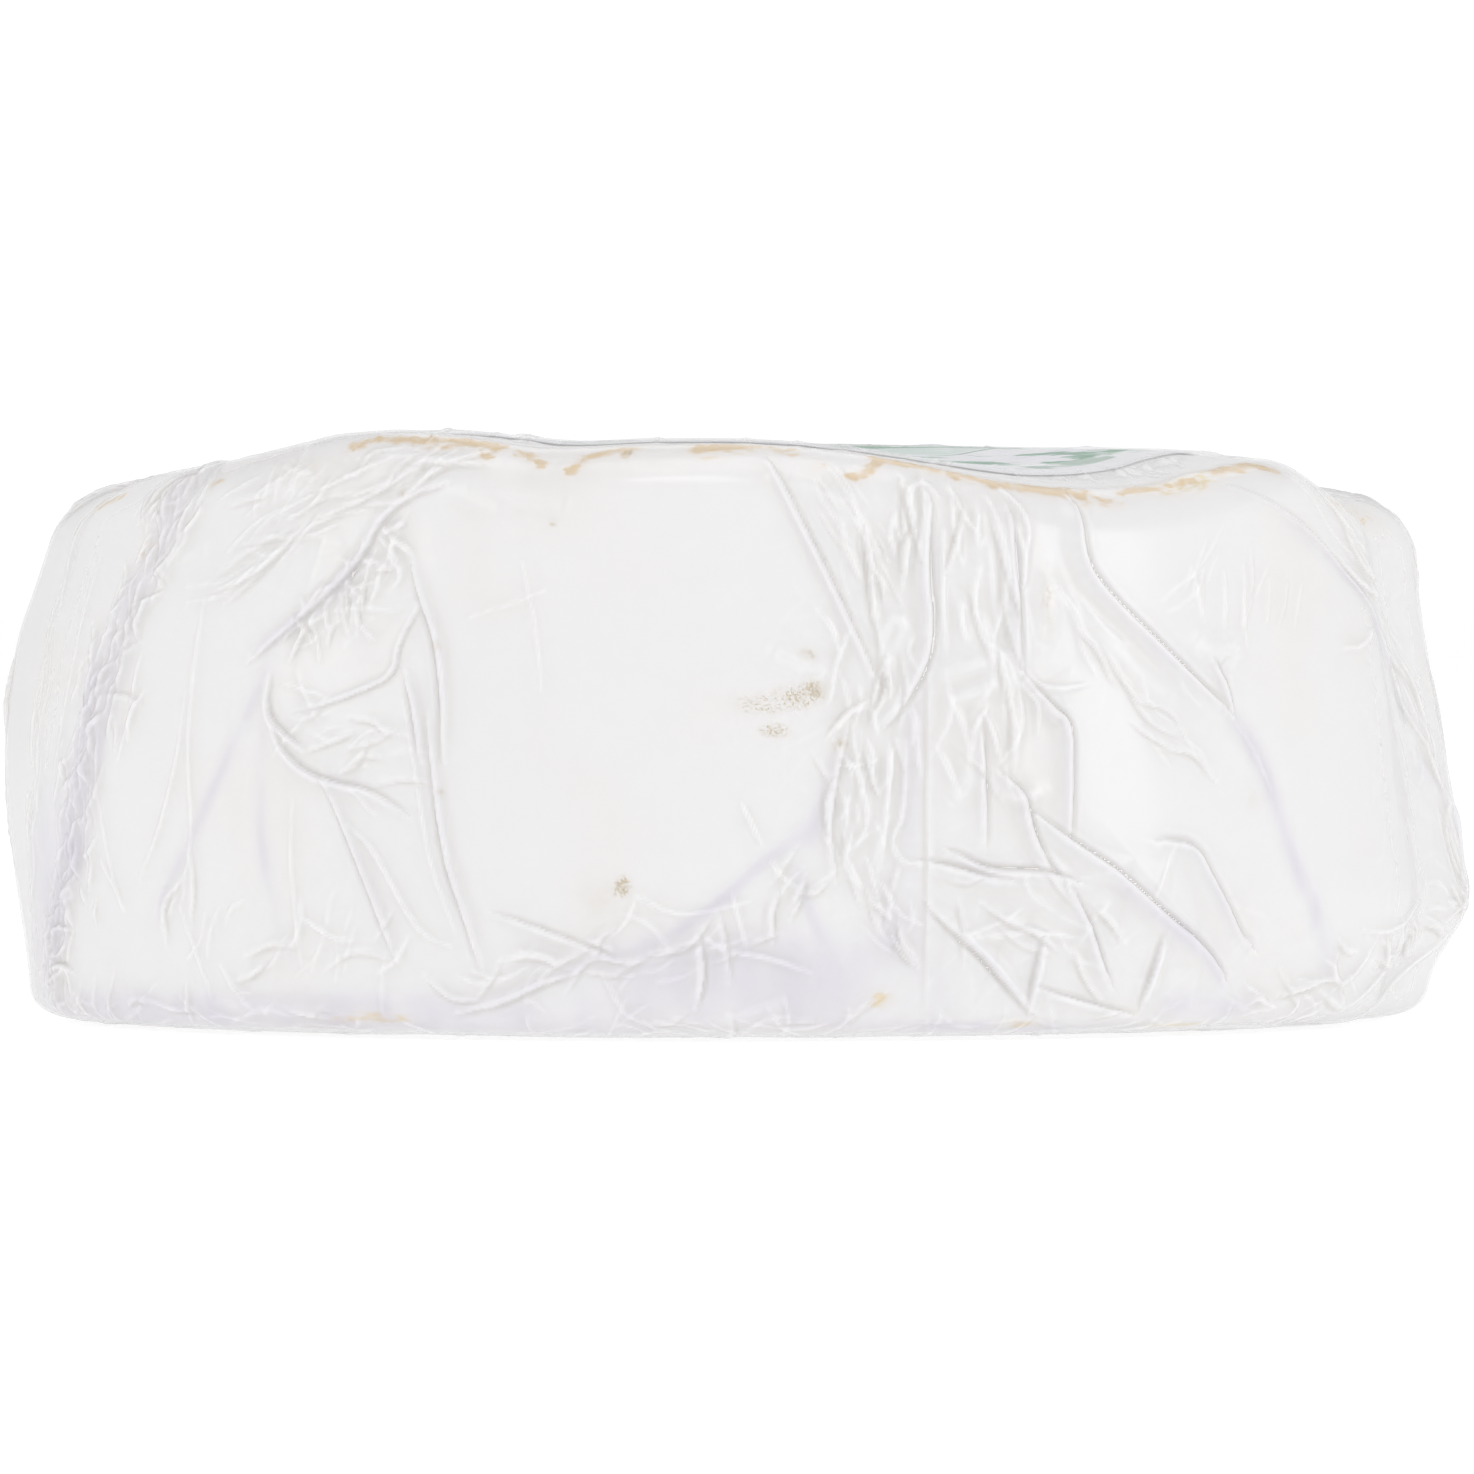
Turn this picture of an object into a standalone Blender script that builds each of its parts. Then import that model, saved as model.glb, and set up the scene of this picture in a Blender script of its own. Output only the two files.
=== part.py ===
"""A film-wrapped wheel of soft white-rind cheese with a round paper label on its top.

Z is up, and the wheel stands on z = 0 with its middle over the origin. The side that is
normally looked at faces -Y. All lengths are in metres, all bearings in degrees: 0 is the
front of the wheel, 90 is +X and -90 is -X.
"""

import math

import bmesh
import bpy
from mathutils import Vector, noise

# Plain drum that the uneven wheel is shaped from
DRUM_RADIUS = 0.097
DRUM_HEIGHT = 0.080
BOTTOM_ROUND = 0.005
TOP_ROUND = 0.007

# Height of the middle of the top, and of the rim at each bearing
MIDDLE_HEIGHT = 0.0783
RIM_HEIGHTS = (
    (-88, 0.0716), (-73, 0.0728), (-67, 0.0744), (-60, 0.0754), (-51, 0.0769),
    (-43, 0.0790), (-36, 0.0810), (-28, 0.0815), (-22, 0.0807), (-17, 0.0796),
    (-8, 0.0801), (2, 0.0797), (12, 0.0778), (20, 0.0756), (30, 0.0733),
    (40, 0.0736), (46, 0.0756), (52, 0.0770), (56.5, 0.0767), (61.5, 0.0741),
    (67, 0.0724), (77, 0.0705), (96, 0.0702), (125, 0.0728), (155, 0.0768),
    (190, 0.0774), (225, 0.0750), (250, 0.0728),
)
RIM_SLOPE = 2.2

# Reach of the side wall at a share of its height: slumped on one side, upright on the other
WALL_LEFT = ((0.0, 0.0966), (0.12, 0.0972), (0.30, 0.0989), (0.53, 0.1002), (0.72, 0.0988),
             (0.84, 0.0962), (0.94, 0.0938), (1.0, 0.0915))
WALL_RIGHT = ((0.0, 0.0938), (0.10, 0.0954), (0.19, 0.0988), (0.25, 0.0999), (0.36, 0.0987),
              (0.50, 0.0970), (0.70, 0.0950), (0.88, 0.0932), (1.0, 0.0925))
WALL_FRONT = ((0.0, 0.0950), (0.15, 0.0964), (0.45, 0.0975), (0.75, 0.0968), (1.0, 0.0945))
WALL_BACK = ((0.0, 0.0955), (0.20, 0.0978), (0.50, 0.0982), (0.80, 0.0962), (1.0, 0.0935))

# Soft upright dents that part the side wall into lobes: bearing, width in degrees, depth
SIDE_DENTS = ((75, 7, 0.0032), (-112, 12, 0.0020), (128, 9, 0.0022), (166, 12, 0.0016),
              (-152, 10, 0.0024), (11, 5, 0.0008))
LUMP_SIZE = 0.045
LUMP_DEPTH = 0.0009

# Main folds of the film as seen from the front: places across and up, height, half width
FOLDS = (
    (((0.0045, 0.0750), (0.0115, 0.0620), (0.0190, 0.0480)), 0.0011, 0.0022),
    (((0.0257, 0.0680), (0.0262, 0.0520), (0.0207, 0.0430)), 0.0016, 0.0026),
    (((0.0362, 0.0660), (0.0383, 0.0500), (0.0440, 0.0430), (0.0445, 0.0280)), 0.0015, 0.0026),
    (((0.0465, 0.0700), (0.0472, 0.0640), (0.0536, 0.0555), (0.0655, 0.0440)), 0.0015, 0.0027),
    (((0.0680, 0.0410), (0.0745, 0.0300), (0.0795, 0.0150), (0.0800, 0.0080)), 0.0009, 0.0024),
    (((0.0405, 0.0300), (0.0465, 0.0235), (0.0515, 0.0222), (0.0620, 0.0130)), 0.0014, 0.0026),
    (((0.0265, 0.0225), (0.0340, 0.0205), (0.0445, 0.0190)), 0.0012, 0.0024),
    (((0.0275, 0.0150), (0.0340, 0.0080), (0.0395, 0.0045)), 0.0011, 0.0024),
    (((0.0130, 0.0440), (0.0125, 0.0300), (0.0100, 0.0200), (0.0060, 0.0120)), 0.0010, 0.0026),
    (((-0.0430, 0.0640), (-0.0415, 0.0520), (-0.0400, 0.0350), (-0.0355, 0.0120)), 0.0015, 0.0026),
    (((-0.0645, 0.0520), (-0.0655, 0.0400), (-0.0610, 0.0250), (-0.0590, 0.0120)), 0.0011, 0.0026),
    (((-0.0660, 0.0510), (-0.0550, 0.0610), (-0.0490, 0.0690), (-0.0330, 0.0745),
      (-0.0235, 0.0735)), 0.0014, 0.0027),
    (((-0.0760, 0.0740), (-0.0860, 0.0560), (-0.0905, 0.0380), (-0.0930, 0.0140)), 0.0010, 0.0030),
    (((-0.0390, 0.0050), (-0.0240, 0.0085), (-0.0060, 0.0140), (0.0040, 0.0220)), 0.0009, 0.0024),
    (((0.0800, 0.0040), (0.0850, 0.0110), (0.0900, 0.0200)), 0.0012, 0.0026),
)

# How a fold ends and how sharp it is: share of its height at its ends, steepness of its sides,
# half widths out to which it is felt, and the most that it runs round the wall
FOLD_END = 0.08
FOLD_STEEPNESS = 1.6
FOLD_FELT = 2
FOLD_WINDOW = 0.06

# Upright gathers of the film round the back: how many, where, how tall and how wide
GATHER_COUNT = 34
GATHER_FIRST_BEARING, GATHER_TURN = 96, 168
GATHER_LOWEST, GATHER_LOWEST_SPREAD = 0.1, 0.25
GATHER_LENGTH, GATHER_LENGTH_SPREAD = 0.35, 0.35
GATHER_LEAN = 0.02
GATHER_HEIGHT = 0.0010
GATHER_HALF_WIDTH = 0.0026
GATHER_SEED = 7

# Paper label on the top
LABEL_RADIUS = 0.069
LABEL_X, LABEL_Y = 0.002, -0.013
LABEL_GAP = 0.00035
LABEL_THICKNESS = 0.0004
LABEL_RINGS = 5
LABEL_SIDES = 96

# Mesh of the wheel: columns round it, and rows along bottom, rounds, wall and top
WHEEL_COLUMNS = 132
ROWS_BOTTOM, ROWS_BOTTOM_ROUND, ROWS_WALL, ROWS_TOP_ROUND, ROWS_TOP = 3, 3, 22, 4, 8


def smooth_between(points, value, period=None):
    """Value of a smooth curve through (place, value) points; it joins up if it has a period."""
    count = len(points)
    places = [point[0] for point in points]
    if period:
        value = places[0] + (value - places[0]) % period
        last = max(i for i in range(count) if places[i] <= value)
        around = [last - 1, last, last + 1, last + 2]
        spots = [places[i % count] + period * (i // count) for i in around]
        heights = [points[i % count][1] for i in around]
    else:
        value = min(max(value, places[0]), places[-1])
        last = min(max(i for i in range(count) if places[i] <= value), count - 2)
        around = [min(max(i, 0), count - 1) for i in range(last - 1, last + 3)]
        spots = [places[i] for i in around]
        heights = [points[i][1] for i in around]
    span = spots[2] - spots[1]
    share = (value - spots[1]) / span
    slope_in = (heights[2] - heights[0]) / max(spots[2] - spots[0], 1e-9) * span
    slope_out = (heights[3] - heights[1]) / max(spots[3] - spots[1], 1e-9) * span
    square, cube = share * share, share ** 3
    return ((2 * cube - 3 * square + 1) * heights[1] + (cube - 2 * square + share) * slope_in
            + (3 * square - 2 * cube) * heights[2] + (cube - square) * slope_out)


def turn_between(bearing, other):
    """Signed turn from one bearing to another, within half a turn either way."""
    return (bearing - other + 180) % 360 - 180


def wall_reach(bearing, share_up):
    """Distance of the side wall from the axis."""
    across, along = math.sin(math.radians(bearing)), math.cos(math.radians(bearing))
    side = WALL_RIGHT if across > 0 else WALL_LEFT
    end = WALL_FRONT if along > 0 else WALL_BACK
    reach = (smooth_between(side, share_up) * across ** 2
             + smooth_between(end, share_up) * along ** 2)
    for middle, width, depth in SIDE_DENTS:
        reach -= depth * math.exp(-(turn_between(bearing, middle) / width) ** 2)
    return reach


def top_height(bearing, share_out):
    """Height of the top above the floor."""
    rim = smooth_between(RIM_HEIGHTS, bearing, period=360)
    return MIDDLE_HEIGHT + (rim - MIDDLE_HEIGHT) * min(share_out, 1.0) ** RIM_SLOPE


def uneven(bearing, out, up):
    """A place on the plain drum, moved to where it lies on the uneven wheel."""
    reach = wall_reach(bearing, up / DRUM_HEIGHT) / DRUM_RADIUS
    height = top_height(bearing, out / DRUM_RADIUS) / DRUM_HEIGHT
    angle = math.radians(bearing)
    place = Vector((out * reach * math.sin(angle), -out * reach * math.cos(angle), up * height))
    lump = LUMP_DEPTH * noise.noise(place / LUMP_SIZE)
    share_up, share_out = up / DRUM_HEIGHT, out / DRUM_RADIUS
    place.x *= 1 + lump / DRUM_RADIUS * share_out
    place.y *= 1 + lump / DRUM_RADIUS * share_out
    place.z += lump * share_up ** 2
    return place


def drum_outline(rows):
    """Half section of the drum, bottom middle to top middle: (out, up, tilt) at each row.

    The tilt is the bearing of the outward normal, from -90 underneath to 90 on top.
    """
    bottom, bottom_round, wall, top_round, top = rows
    outline = []
    for i in range(bottom):
        outline.append(((DRUM_RADIUS - BOTTOM_ROUND) * i / bottom, 0.0, -90.0))
    for i in range(bottom_round):
        tilt = -90 + 90 * i / bottom_round
        outline.append((DRUM_RADIUS - BOTTOM_ROUND + BOTTOM_ROUND * math.cos(math.radians(tilt)),
                        BOTTOM_ROUND + BOTTOM_ROUND * math.sin(math.radians(tilt)), tilt))
    for i in range(wall):
        rise = DRUM_HEIGHT - TOP_ROUND - BOTTOM_ROUND
        outline.append((DRUM_RADIUS, BOTTOM_ROUND + rise * i / wall, 0.0))
    for i in range(top_round):
        tilt = 90 * i / top_round
        outline.append((DRUM_RADIUS - TOP_ROUND + TOP_ROUND * math.cos(math.radians(tilt)),
                        DRUM_HEIGHT - TOP_ROUND + TOP_ROUND * math.sin(math.radians(tilt)), tilt))
    for i in range(top + 1):
        outline.append(((DRUM_RADIUS - TOP_ROUND) * (1 - i / top), DRUM_HEIGHT, 90.0))
    return outline


def distance_to_path(place, path):
    """Distance of a 2D place from a line through points, and how far along it that is, 0 to 1."""
    nearest, along = 1e9, 0.0
    for i, (start, end) in enumerate(zip(path, path[1:])):
        run = end - start
        share = min(max((place - start).dot(run) / run.length_squared, 0.0), 1.0)
        gap = (place - start - run * share).length
        if gap < nearest:
            nearest, along = gap, (i + share) / (len(path) - 1)
    return nearest, along


def around_wall(across, up):
    """A place seen from the front, laid out flat: distance round the wall, and height."""
    turn = math.asin(min(max(across / DRUM_RADIUS, -1.0), 1.0))
    return Vector((turn * DRUM_RADIUS, up))


def fold_paths():
    """The named folds of the front, and gathers round the rest, laid out flat on the wall."""
    folds = [([around_wall(*point) for point in points], height, half_width)
             for points, height, half_width in FOLDS]
    noise.seed_set(GATHER_SEED)
    for i in range(GATHER_COUNT):
        share_round = (i + noise.random() / 2) / GATHER_COUNT
        start = math.radians(GATHER_FIRST_BEARING + GATHER_TURN * share_round) * DRUM_RADIUS
        low = DRUM_HEIGHT * (GATHER_LOWEST + GATHER_LOWEST_SPREAD * noise.random())
        high = low + DRUM_HEIGHT * (GATHER_LENGTH + GATHER_LENGTH_SPREAD * noise.random())
        lean = GATHER_LEAN * (noise.random() - 0.5)
        path = [Vector((start, low)), Vector((start + lean, high))]
        folds.append((path, GATHER_HEIGHT * (0.5 + noise.random()), GATHER_HALF_WIDTH))
    return folds


def fold_relief(bearing, up, folds):
    """How far the film's folds stand off the side wall at a place."""
    full_turn = 2 * math.pi * DRUM_RADIUS
    spot = math.radians(turn_between(bearing, 0)) * DRUM_RADIUS
    relief = 0.0
    for path, height, half_width in folds:
        for place in (Vector((spot, up)), Vector((spot + full_turn, up))):
            if abs(place.x - path[0].x) > FOLD_WINDOW:
                continue
            gap, along = distance_to_path(place, path)
            if gap < half_width * FOLD_FELT:
                taper = math.sin(math.pi * (FOLD_END + (1 - 2 * FOLD_END) * along))
                steep = math.exp(-FOLD_STEEPNESS * (gap / half_width) ** 2)
                relief = max(relief, height * taper * steep)
    return relief


def wrapped_wheel():
    """The whole wrapped wheel as one solid: a sphere's grid of faces laid over the uneven drum."""
    rows = (ROWS_BOTTOM, ROWS_BOTTOM_ROUND, ROWS_WALL, ROWS_TOP_ROUND, ROWS_TOP)
    outline = drum_outline(rows)
    folds = fold_paths()
    mesh = bpy.data.meshes.new("wrapped_wheel")
    grid = bmesh.new()
    bmesh.ops.create_uvsphere(grid, u_segments=WHEEL_COLUMNS, v_segments=len(outline) - 1, radius=1)
    for vert in grid.verts:
        from_bottom = math.degrees(math.acos(max(-1.0, min(1.0, -vert.co.z)))) / 180
        row = round(from_bottom * (len(outline) - 1))
        out, up, tilt = outline[row]
        bearing = math.degrees(math.atan2(vert.co.x, -vert.co.y))
        vert.co = uneven(bearing, out, up)
        if up > 0:
            side = max(0.0, math.cos(math.radians(tilt)))
            relief = fold_relief(bearing, up, folds) * side
            angle = math.radians(bearing)
            vert.co += relief * Vector((math.sin(angle), -math.cos(angle), 0))
    bmesh.ops.recalc_face_normals(grid, faces=grid.faces)
    grid.to_mesh(mesh)
    grid.free()
    mesh.shade_smooth()
    return bpy.data.objects.new("wrapped_wheel", mesh)


def paper_label():
    """The round paper label: a disc in rings that follows the top, given its thickness upwards."""
    mesh = bpy.data.meshes.new("paper_label")
    disc = bmesh.new()
    bmesh.ops.create_circle(disc, cap_ends=True, segments=LABEL_SIDES, radius=LABEL_RADIUS)
    step = LABEL_RADIUS / (LABEL_RINGS + 1)
    middle = disc.faces[:]
    for _ in range(LABEL_RINGS):
        bmesh.ops.inset_region(disc, faces=middle, thickness=step, use_boundary=True)
    bmesh.ops.poke(disc, faces=middle)
    for vert in disc.verts:
        x, y = vert.co.x + LABEL_X, vert.co.y + LABEL_Y
        bearing = math.degrees(math.atan2(x, -y))
        vert.co = uneven(bearing, math.hypot(x, y), DRUM_HEIGHT)
        vert.co.z += LABEL_GAP
    disc.normal_update()
    if sum(face.normal.z for face in disc.faces) < 0:
        bmesh.ops.reverse_faces(disc, faces=disc.faces)
    disc.to_mesh(mesh)
    disc.free()
    label = bpy.data.objects.new("paper_label", mesh)
    wall = label.modifiers.new("paper", "SOLIDIFY")
    wall.thickness = LABEL_THICKNESS
    wall.offset = 1
    return label


def finish(obj, name, colour, roughness):
    """Gives a piece its own material."""
    material = bpy.data.materials.new(name)
    material.use_nodes = True
    shader = material.node_tree.nodes["Principled BSDF"]
    shader.inputs["Base Color"].default_value = (*colour, 1)
    shader.inputs["Roughness"].default_value = roughness
    shader.inputs["Metallic"].default_value = 0
    obj.data.materials.append(material)


def build():
    for old in list(bpy.data.objects):
        bpy.data.objects.remove(old)
    pieces = bpy.data.collections.new("wrapped_cheese_wheel")
    bpy.context.scene.collection.children.link(pieces)
    wheel = wrapped_wheel()
    finish(wheel, "filmed_rind", (0.83, 0.82, 0.80), 0.35)
    label = paper_label()
    finish(label, "label_paper", (0.74, 0.80, 0.78), 0.55)
    for piece in (wheel, label):
        pieces.objects.link(piece)


build()
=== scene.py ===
# %% [markdown]
# # A film-wrapped wheel of soft white cheese
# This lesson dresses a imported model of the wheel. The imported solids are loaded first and
# never moved: they say how large the wheel is and where it stands. Everything made after
# that is the look of it: the bloomy rind, the paper label on the top, and the clear film
# that is drawn tight over both. All lengths are in metres, unless a name ends in MM.

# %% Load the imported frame
import math

import bpy
import numpy as np
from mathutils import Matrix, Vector, geometry, noise


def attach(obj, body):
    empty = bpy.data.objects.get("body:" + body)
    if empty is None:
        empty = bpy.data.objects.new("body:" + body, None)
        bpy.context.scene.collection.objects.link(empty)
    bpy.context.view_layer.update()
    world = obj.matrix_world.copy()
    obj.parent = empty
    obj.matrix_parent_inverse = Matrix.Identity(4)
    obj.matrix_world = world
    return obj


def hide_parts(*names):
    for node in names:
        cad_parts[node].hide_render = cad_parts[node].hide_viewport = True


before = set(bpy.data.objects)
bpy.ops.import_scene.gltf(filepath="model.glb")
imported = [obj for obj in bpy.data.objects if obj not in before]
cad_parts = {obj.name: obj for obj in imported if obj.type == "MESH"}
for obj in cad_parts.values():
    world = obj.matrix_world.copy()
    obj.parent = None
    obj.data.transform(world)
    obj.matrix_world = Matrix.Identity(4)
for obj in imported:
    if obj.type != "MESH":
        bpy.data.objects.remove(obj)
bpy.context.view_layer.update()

# %% [markdown]
# ## Camera
# The wheel was seen from far away and almost level, so that its outline is nearly a flat
# drawing. A long lens three metres off gives that. It stands a little higher than the top,
# which lets the label show as a thin sliver. The picture is square, 1474 pixels a side.

# %% The camera
PICTURE_PIXELS = 1474
CAMERA_AWAY = 3.0
CAMERA_HEIGHT = 0.100
AIM_HEIGHT = 0.0387
PICTURE_WIDTH = 0.2019
SENSOR_MM = 36.0
FARTHEST_SEEN = 30


def add_camera():
    """A camera in front of the wheel, looking slightly down at its middle."""
    tilt = math.atan2(CAMERA_HEIGHT - AIM_HEIGHT, CAMERA_AWAY)
    bpy.ops.object.camera_add(
        location=(0, -CAMERA_AWAY, CAMERA_HEIGHT), rotation=(math.pi / 2 - tilt, 0, 0))
    camera = bpy.context.object
    camera.name = "front_camera"
    camera.data.sensor_width = SENSOR_MM
    camera.data.lens = SENSOR_MM * CAMERA_AWAY / PICTURE_WIDTH
    camera.data.clip_end = FARTHEST_SEEN
    bpy.context.scene.camera = camera
    return camera, tilt


camera, camera_tilt = add_camera()
print("lens", round(camera.data.lens), "mm, looking down by", round(math.degrees(camera_tilt), 2))

# %% [markdown]
# ## Studio
# A white thing on a white ground lives from soft light with a little direction. The floor
# is a light table: white acrylic that is lit from within, so that the wheel's foot stays
# open and casts hardly a shadow. It is one round bowl whose rim curves up all round, so no
# edge or corner shows from any side. The key light hangs in front and above, small enough
# to leave a glint on a crest of film. A wide one hangs over the top, and three more open
# the sides and the back.

# %% The glowing bowl
BOWL_RADIUS = 7.0
BOWL_HEIGHT = 4.0
BOWL_CURVE = 1.8
BOWL_SIDES = 96
CURVE_STEPS = 14
BOWL_WHITE = (0.55, 0.55, 0.55, 1)
BOWL_ROUGHNESS = 0.9
GLOW = 0.62


def studio_white():
    """White acrylic, lit from within."""
    material = bpy.data.materials.new("studio_white")
    material.use_nodes = True
    material.cycles.emission_sampling = "NONE"
    shader = material.node_tree.nodes["Principled BSDF"]
    shader.inputs["Base Color"].default_value = BOWL_WHITE
    shader.inputs["Roughness"].default_value = BOWL_ROUGHNESS
    shader.inputs["Specular IOR Level"].default_value = 0.0
    shader.inputs["Emission Color"].default_value = (1, 1, 1, 1)
    shader.inputs["Emission Strength"].default_value = GLOW
    return material


def deselect_all():
    """An operator works on all that is selected, so each step starts from nothing."""
    bpy.ops.object.select_all(action="DESELECT")


def add_bowl():
    """A disc whose rim is extruded up, with the bend between them bevelled round."""
    deselect_all()
    bpy.ops.mesh.primitive_circle_add(vertices=BOWL_SIDES, radius=BOWL_RADIUS, fill_type="NGON")
    bowl = bpy.context.object
    bowl.name = bowl.data.name = "studio_bowl"
    bpy.ops.object.mode_set(mode="EDIT")
    bpy.ops.mesh.select_mode(type="EDGE")
    bpy.ops.mesh.select_all(action="SELECT")
    bpy.ops.mesh.extrude_edges_move(TRANSFORM_OT_translate={"value": (0, 0, BOWL_HEIGHT)})
    bpy.ops.mesh.select_all(action="DESELECT")
    bpy.ops.object.mode_set(mode="OBJECT")
    for edge in bowl.data.edges:
        edge.select = all(bowl.data.vertices[i].co.z < BOWL_HEIGHT / 2 for i in edge.vertices)
    bpy.ops.object.mode_set(mode="EDIT")
    bpy.ops.mesh.bevel(offset=BOWL_CURVE, segments=CURVE_STEPS)
    bpy.ops.object.mode_set(mode="OBJECT")
    bpy.ops.object.shade_smooth()
    bowl.data.materials.append(studio_white())
    return bowl


bowl = add_bowl()
print("the bowl has", len(bowl.data.polygons), "faces")

# %% Lights
LIGHTS = (
    # name, place, size across and up, watts
    ("key_light", (-0.30, -1.35, 1.45), (0.60, 0.40), 2.6),
    ("top_light", (0.10, -0.35, 1.70), (1.40, 0.90), 7.0),
    ("left_light", (-1.55, -0.80, 0.60), (0.70, 1.10), 2.8),
    ("right_light", (1.55, -0.90, 0.60), (0.60, 1.10), 4.2),
    ("back_light", (0.20, 1.30, 1.60), (1.20, 0.60), 2.5),
)
WORLD_GREY = 0.49
AIM = Vector((0, 0, 0.04))


def add_light(name, place, size, watts):
    """A rectangular light that looks at the wheel and isn't itself seen."""
    bpy.ops.object.light_add(type="AREA", location=place)
    light = bpy.context.object
    light.name = name
    light.data.shape = "RECTANGLE"
    light.data.size, light.data.size_y = size
    light.data.energy = watts
    light.rotation_euler = (AIM - Vector(place)).to_track_quat("-Z", "Y").to_euler()
    light.visible_camera = False
    return light


for row in LIGHTS:
    add_light(*row)
world = bpy.data.worlds.new("pale_studio")
world.use_nodes = True
world.node_tree.nodes["Background"].inputs["Color"].default_value = (1, 1, 1, 1)
world.node_tree.nodes["Background"].inputs["Strength"].default_value = WORLD_GREY
bpy.context.scene.world = world
bpy.context.scene.view_settings.view_transform = "Standard"
print(len(LIGHTS), "lights and a pale world")

# %% [markdown]
# ## The form of the wheel
# A ripe soft wheel is a drum that has slumped: its wall bulges low down on one side, its
# rim rises and dips, and the fridge shelf has left soft dents in it. The form is worked out
# here again from the same few sizes that the solids were built from, so that the rind and
# the film lie exactly where the solids say. A place on the wheel is given by its bearing,
# 0 at the front and 90 at the right, and by how far it lies along the drum's outline.

# %% Sizes of the drum
DRUM_RADIUS = 0.097
DRUM_HEIGHT = 0.080
BOTTOM_ROUND = 0.005
TOP_ROUND = 0.007
MIDDLE_HEIGHT = 0.0783
RIM_SLOPE = 2.2
RIM_HEIGHTS = (
    (-88, 0.0716), (-73, 0.0728), (-67, 0.0744), (-60, 0.0754), (-51, 0.0769),
    (-43, 0.0790), (-36, 0.0810), (-28, 0.0815), (-22, 0.0807), (-17, 0.0796),
    (-8, 0.0801), (2, 0.0797), (12, 0.0778), (20, 0.0756), (30, 0.0733),
    (40, 0.0736), (46, 0.0756), (52, 0.0770), (56.5, 0.0767), (61.5, 0.0741),
    (67, 0.0724), (77, 0.0705), (96, 0.0702), (125, 0.0728), (155, 0.0768),
    (190, 0.0774), (225, 0.0750), (250, 0.0728),
)
WALL_LEFT = ((0.0, 0.0966), (0.12, 0.0972), (0.30, 0.0989), (0.53, 0.1002), (0.72, 0.0988),
             (0.84, 0.0962), (0.94, 0.0938), (1.0, 0.0915))
WALL_RIGHT = ((0.0, 0.0938), (0.10, 0.0954), (0.19, 0.0988), (0.25, 0.0999), (0.36, 0.0987),
              (0.50, 0.0970), (0.70, 0.0950), (0.88, 0.0932), (1.0, 0.0925))
WALL_FRONT = ((0.0, 0.0950), (0.15, 0.0964), (0.45, 0.0975), (0.75, 0.0968), (1.0, 0.0945))
WALL_BACK = ((0.0, 0.0955), (0.20, 0.0978), (0.50, 0.0982), (0.80, 0.0962), (1.0, 0.0935))
SIDE_DENTS = ((75, 7, 0.0032), (-112, 12, 0.0020), (128, 9, 0.0022), (166, 12, 0.0016),
              (-152, 10, 0.0024), (11, 5, 0.0008))
LUMP_SIZE = 0.045
LUMP_DEPTH = 0.0009

# %% The drum made uneven
LEAST_SPAN = 1e-9


def smooth_between(points, value, period=None):
    """Values of a smooth curve through (place, value) points; it joins up if it has a period."""
    places = np.array([point[0] for point in points], float)
    heights = np.array([point[1] for point in points], float)
    value = np.asarray(value, float)
    if period:
        value = places[0] + (value - places[0]) % period
        places = np.concatenate([places[-1:] - period, places, places[:2] + period])
        heights = np.concatenate([heights[-1:], heights, heights[:2]])
    else:
        value = np.clip(value, places[0], places[-1])
        places = np.concatenate([places[:1], places, places[-1:]])
        heights = np.concatenate([heights[:1], heights, heights[-1:]])
    last = np.clip(np.searchsorted(places[1:-1], value, side="right"), 1, len(places) - 3)
    span = places[last + 1] - places[last]
    share = (value - places[last]) / span
    slope_in = ((heights[last + 1] - heights[last - 1])
                / np.maximum(places[last + 1] - places[last - 1], LEAST_SPAN) * span)
    slope_out = ((heights[last + 2] - heights[last])
                 / np.maximum(places[last + 2] - places[last], LEAST_SPAN) * span)
    square, cube = share ** 2, share ** 3
    return ((2 * cube - 3 * square + 1) * heights[last] + (cube - 2 * square + share) * slope_in
            + (3 * square - 2 * cube) * heights[last + 1] + (cube - square) * slope_out)


def wall_reach(bearing, share_up):
    """Distance of the side wall from the axis."""
    across, along = np.sin(np.radians(bearing)), np.cos(np.radians(bearing))
    side = np.where(across > 0, smooth_between(WALL_RIGHT, share_up),
                    smooth_between(WALL_LEFT, share_up))
    end = np.where(along > 0, smooth_between(WALL_FRONT, share_up),
                   smooth_between(WALL_BACK, share_up))
    reach = side * across ** 2 + end * along ** 2
    for middle, width, depth in SIDE_DENTS:
        turn = (bearing - middle + 180) % 360 - 180
        reach = reach - depth * np.exp(-(turn / width) ** 2)
    return reach


def top_height(bearing, share_out):
    """Height of the top above the floor."""
    rim = smooth_between(RIM_HEIGHTS, bearing, period=360)
    return MIDDLE_HEIGHT + (rim - MIDDLE_HEIGHT) * np.minimum(share_out, 1.0) ** RIM_SLOPE


def uneven(bearing, out, up):
    """Places on the plain drum, moved to where they lie on the uneven wheel."""
    reach = wall_reach(bearing, up / DRUM_HEIGHT) / DRUM_RADIUS
    height = top_height(bearing, out / DRUM_RADIUS) / DRUM_HEIGHT
    angle = np.radians(bearing)
    places = np.stack([out * reach * np.sin(angle), -out * reach * np.cos(angle), up * height], 1)
    lumps = LUMP_DEPTH * np.array([noise.noise(Vector(p) / LUMP_SIZE) for p in places])
    places[:, :2] *= (1 + lumps / DRUM_RADIUS * out / DRUM_RADIUS)[:, None]
    places[:, 2] += lumps * (up / DRUM_HEIGHT) ** 2
    return places


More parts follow.
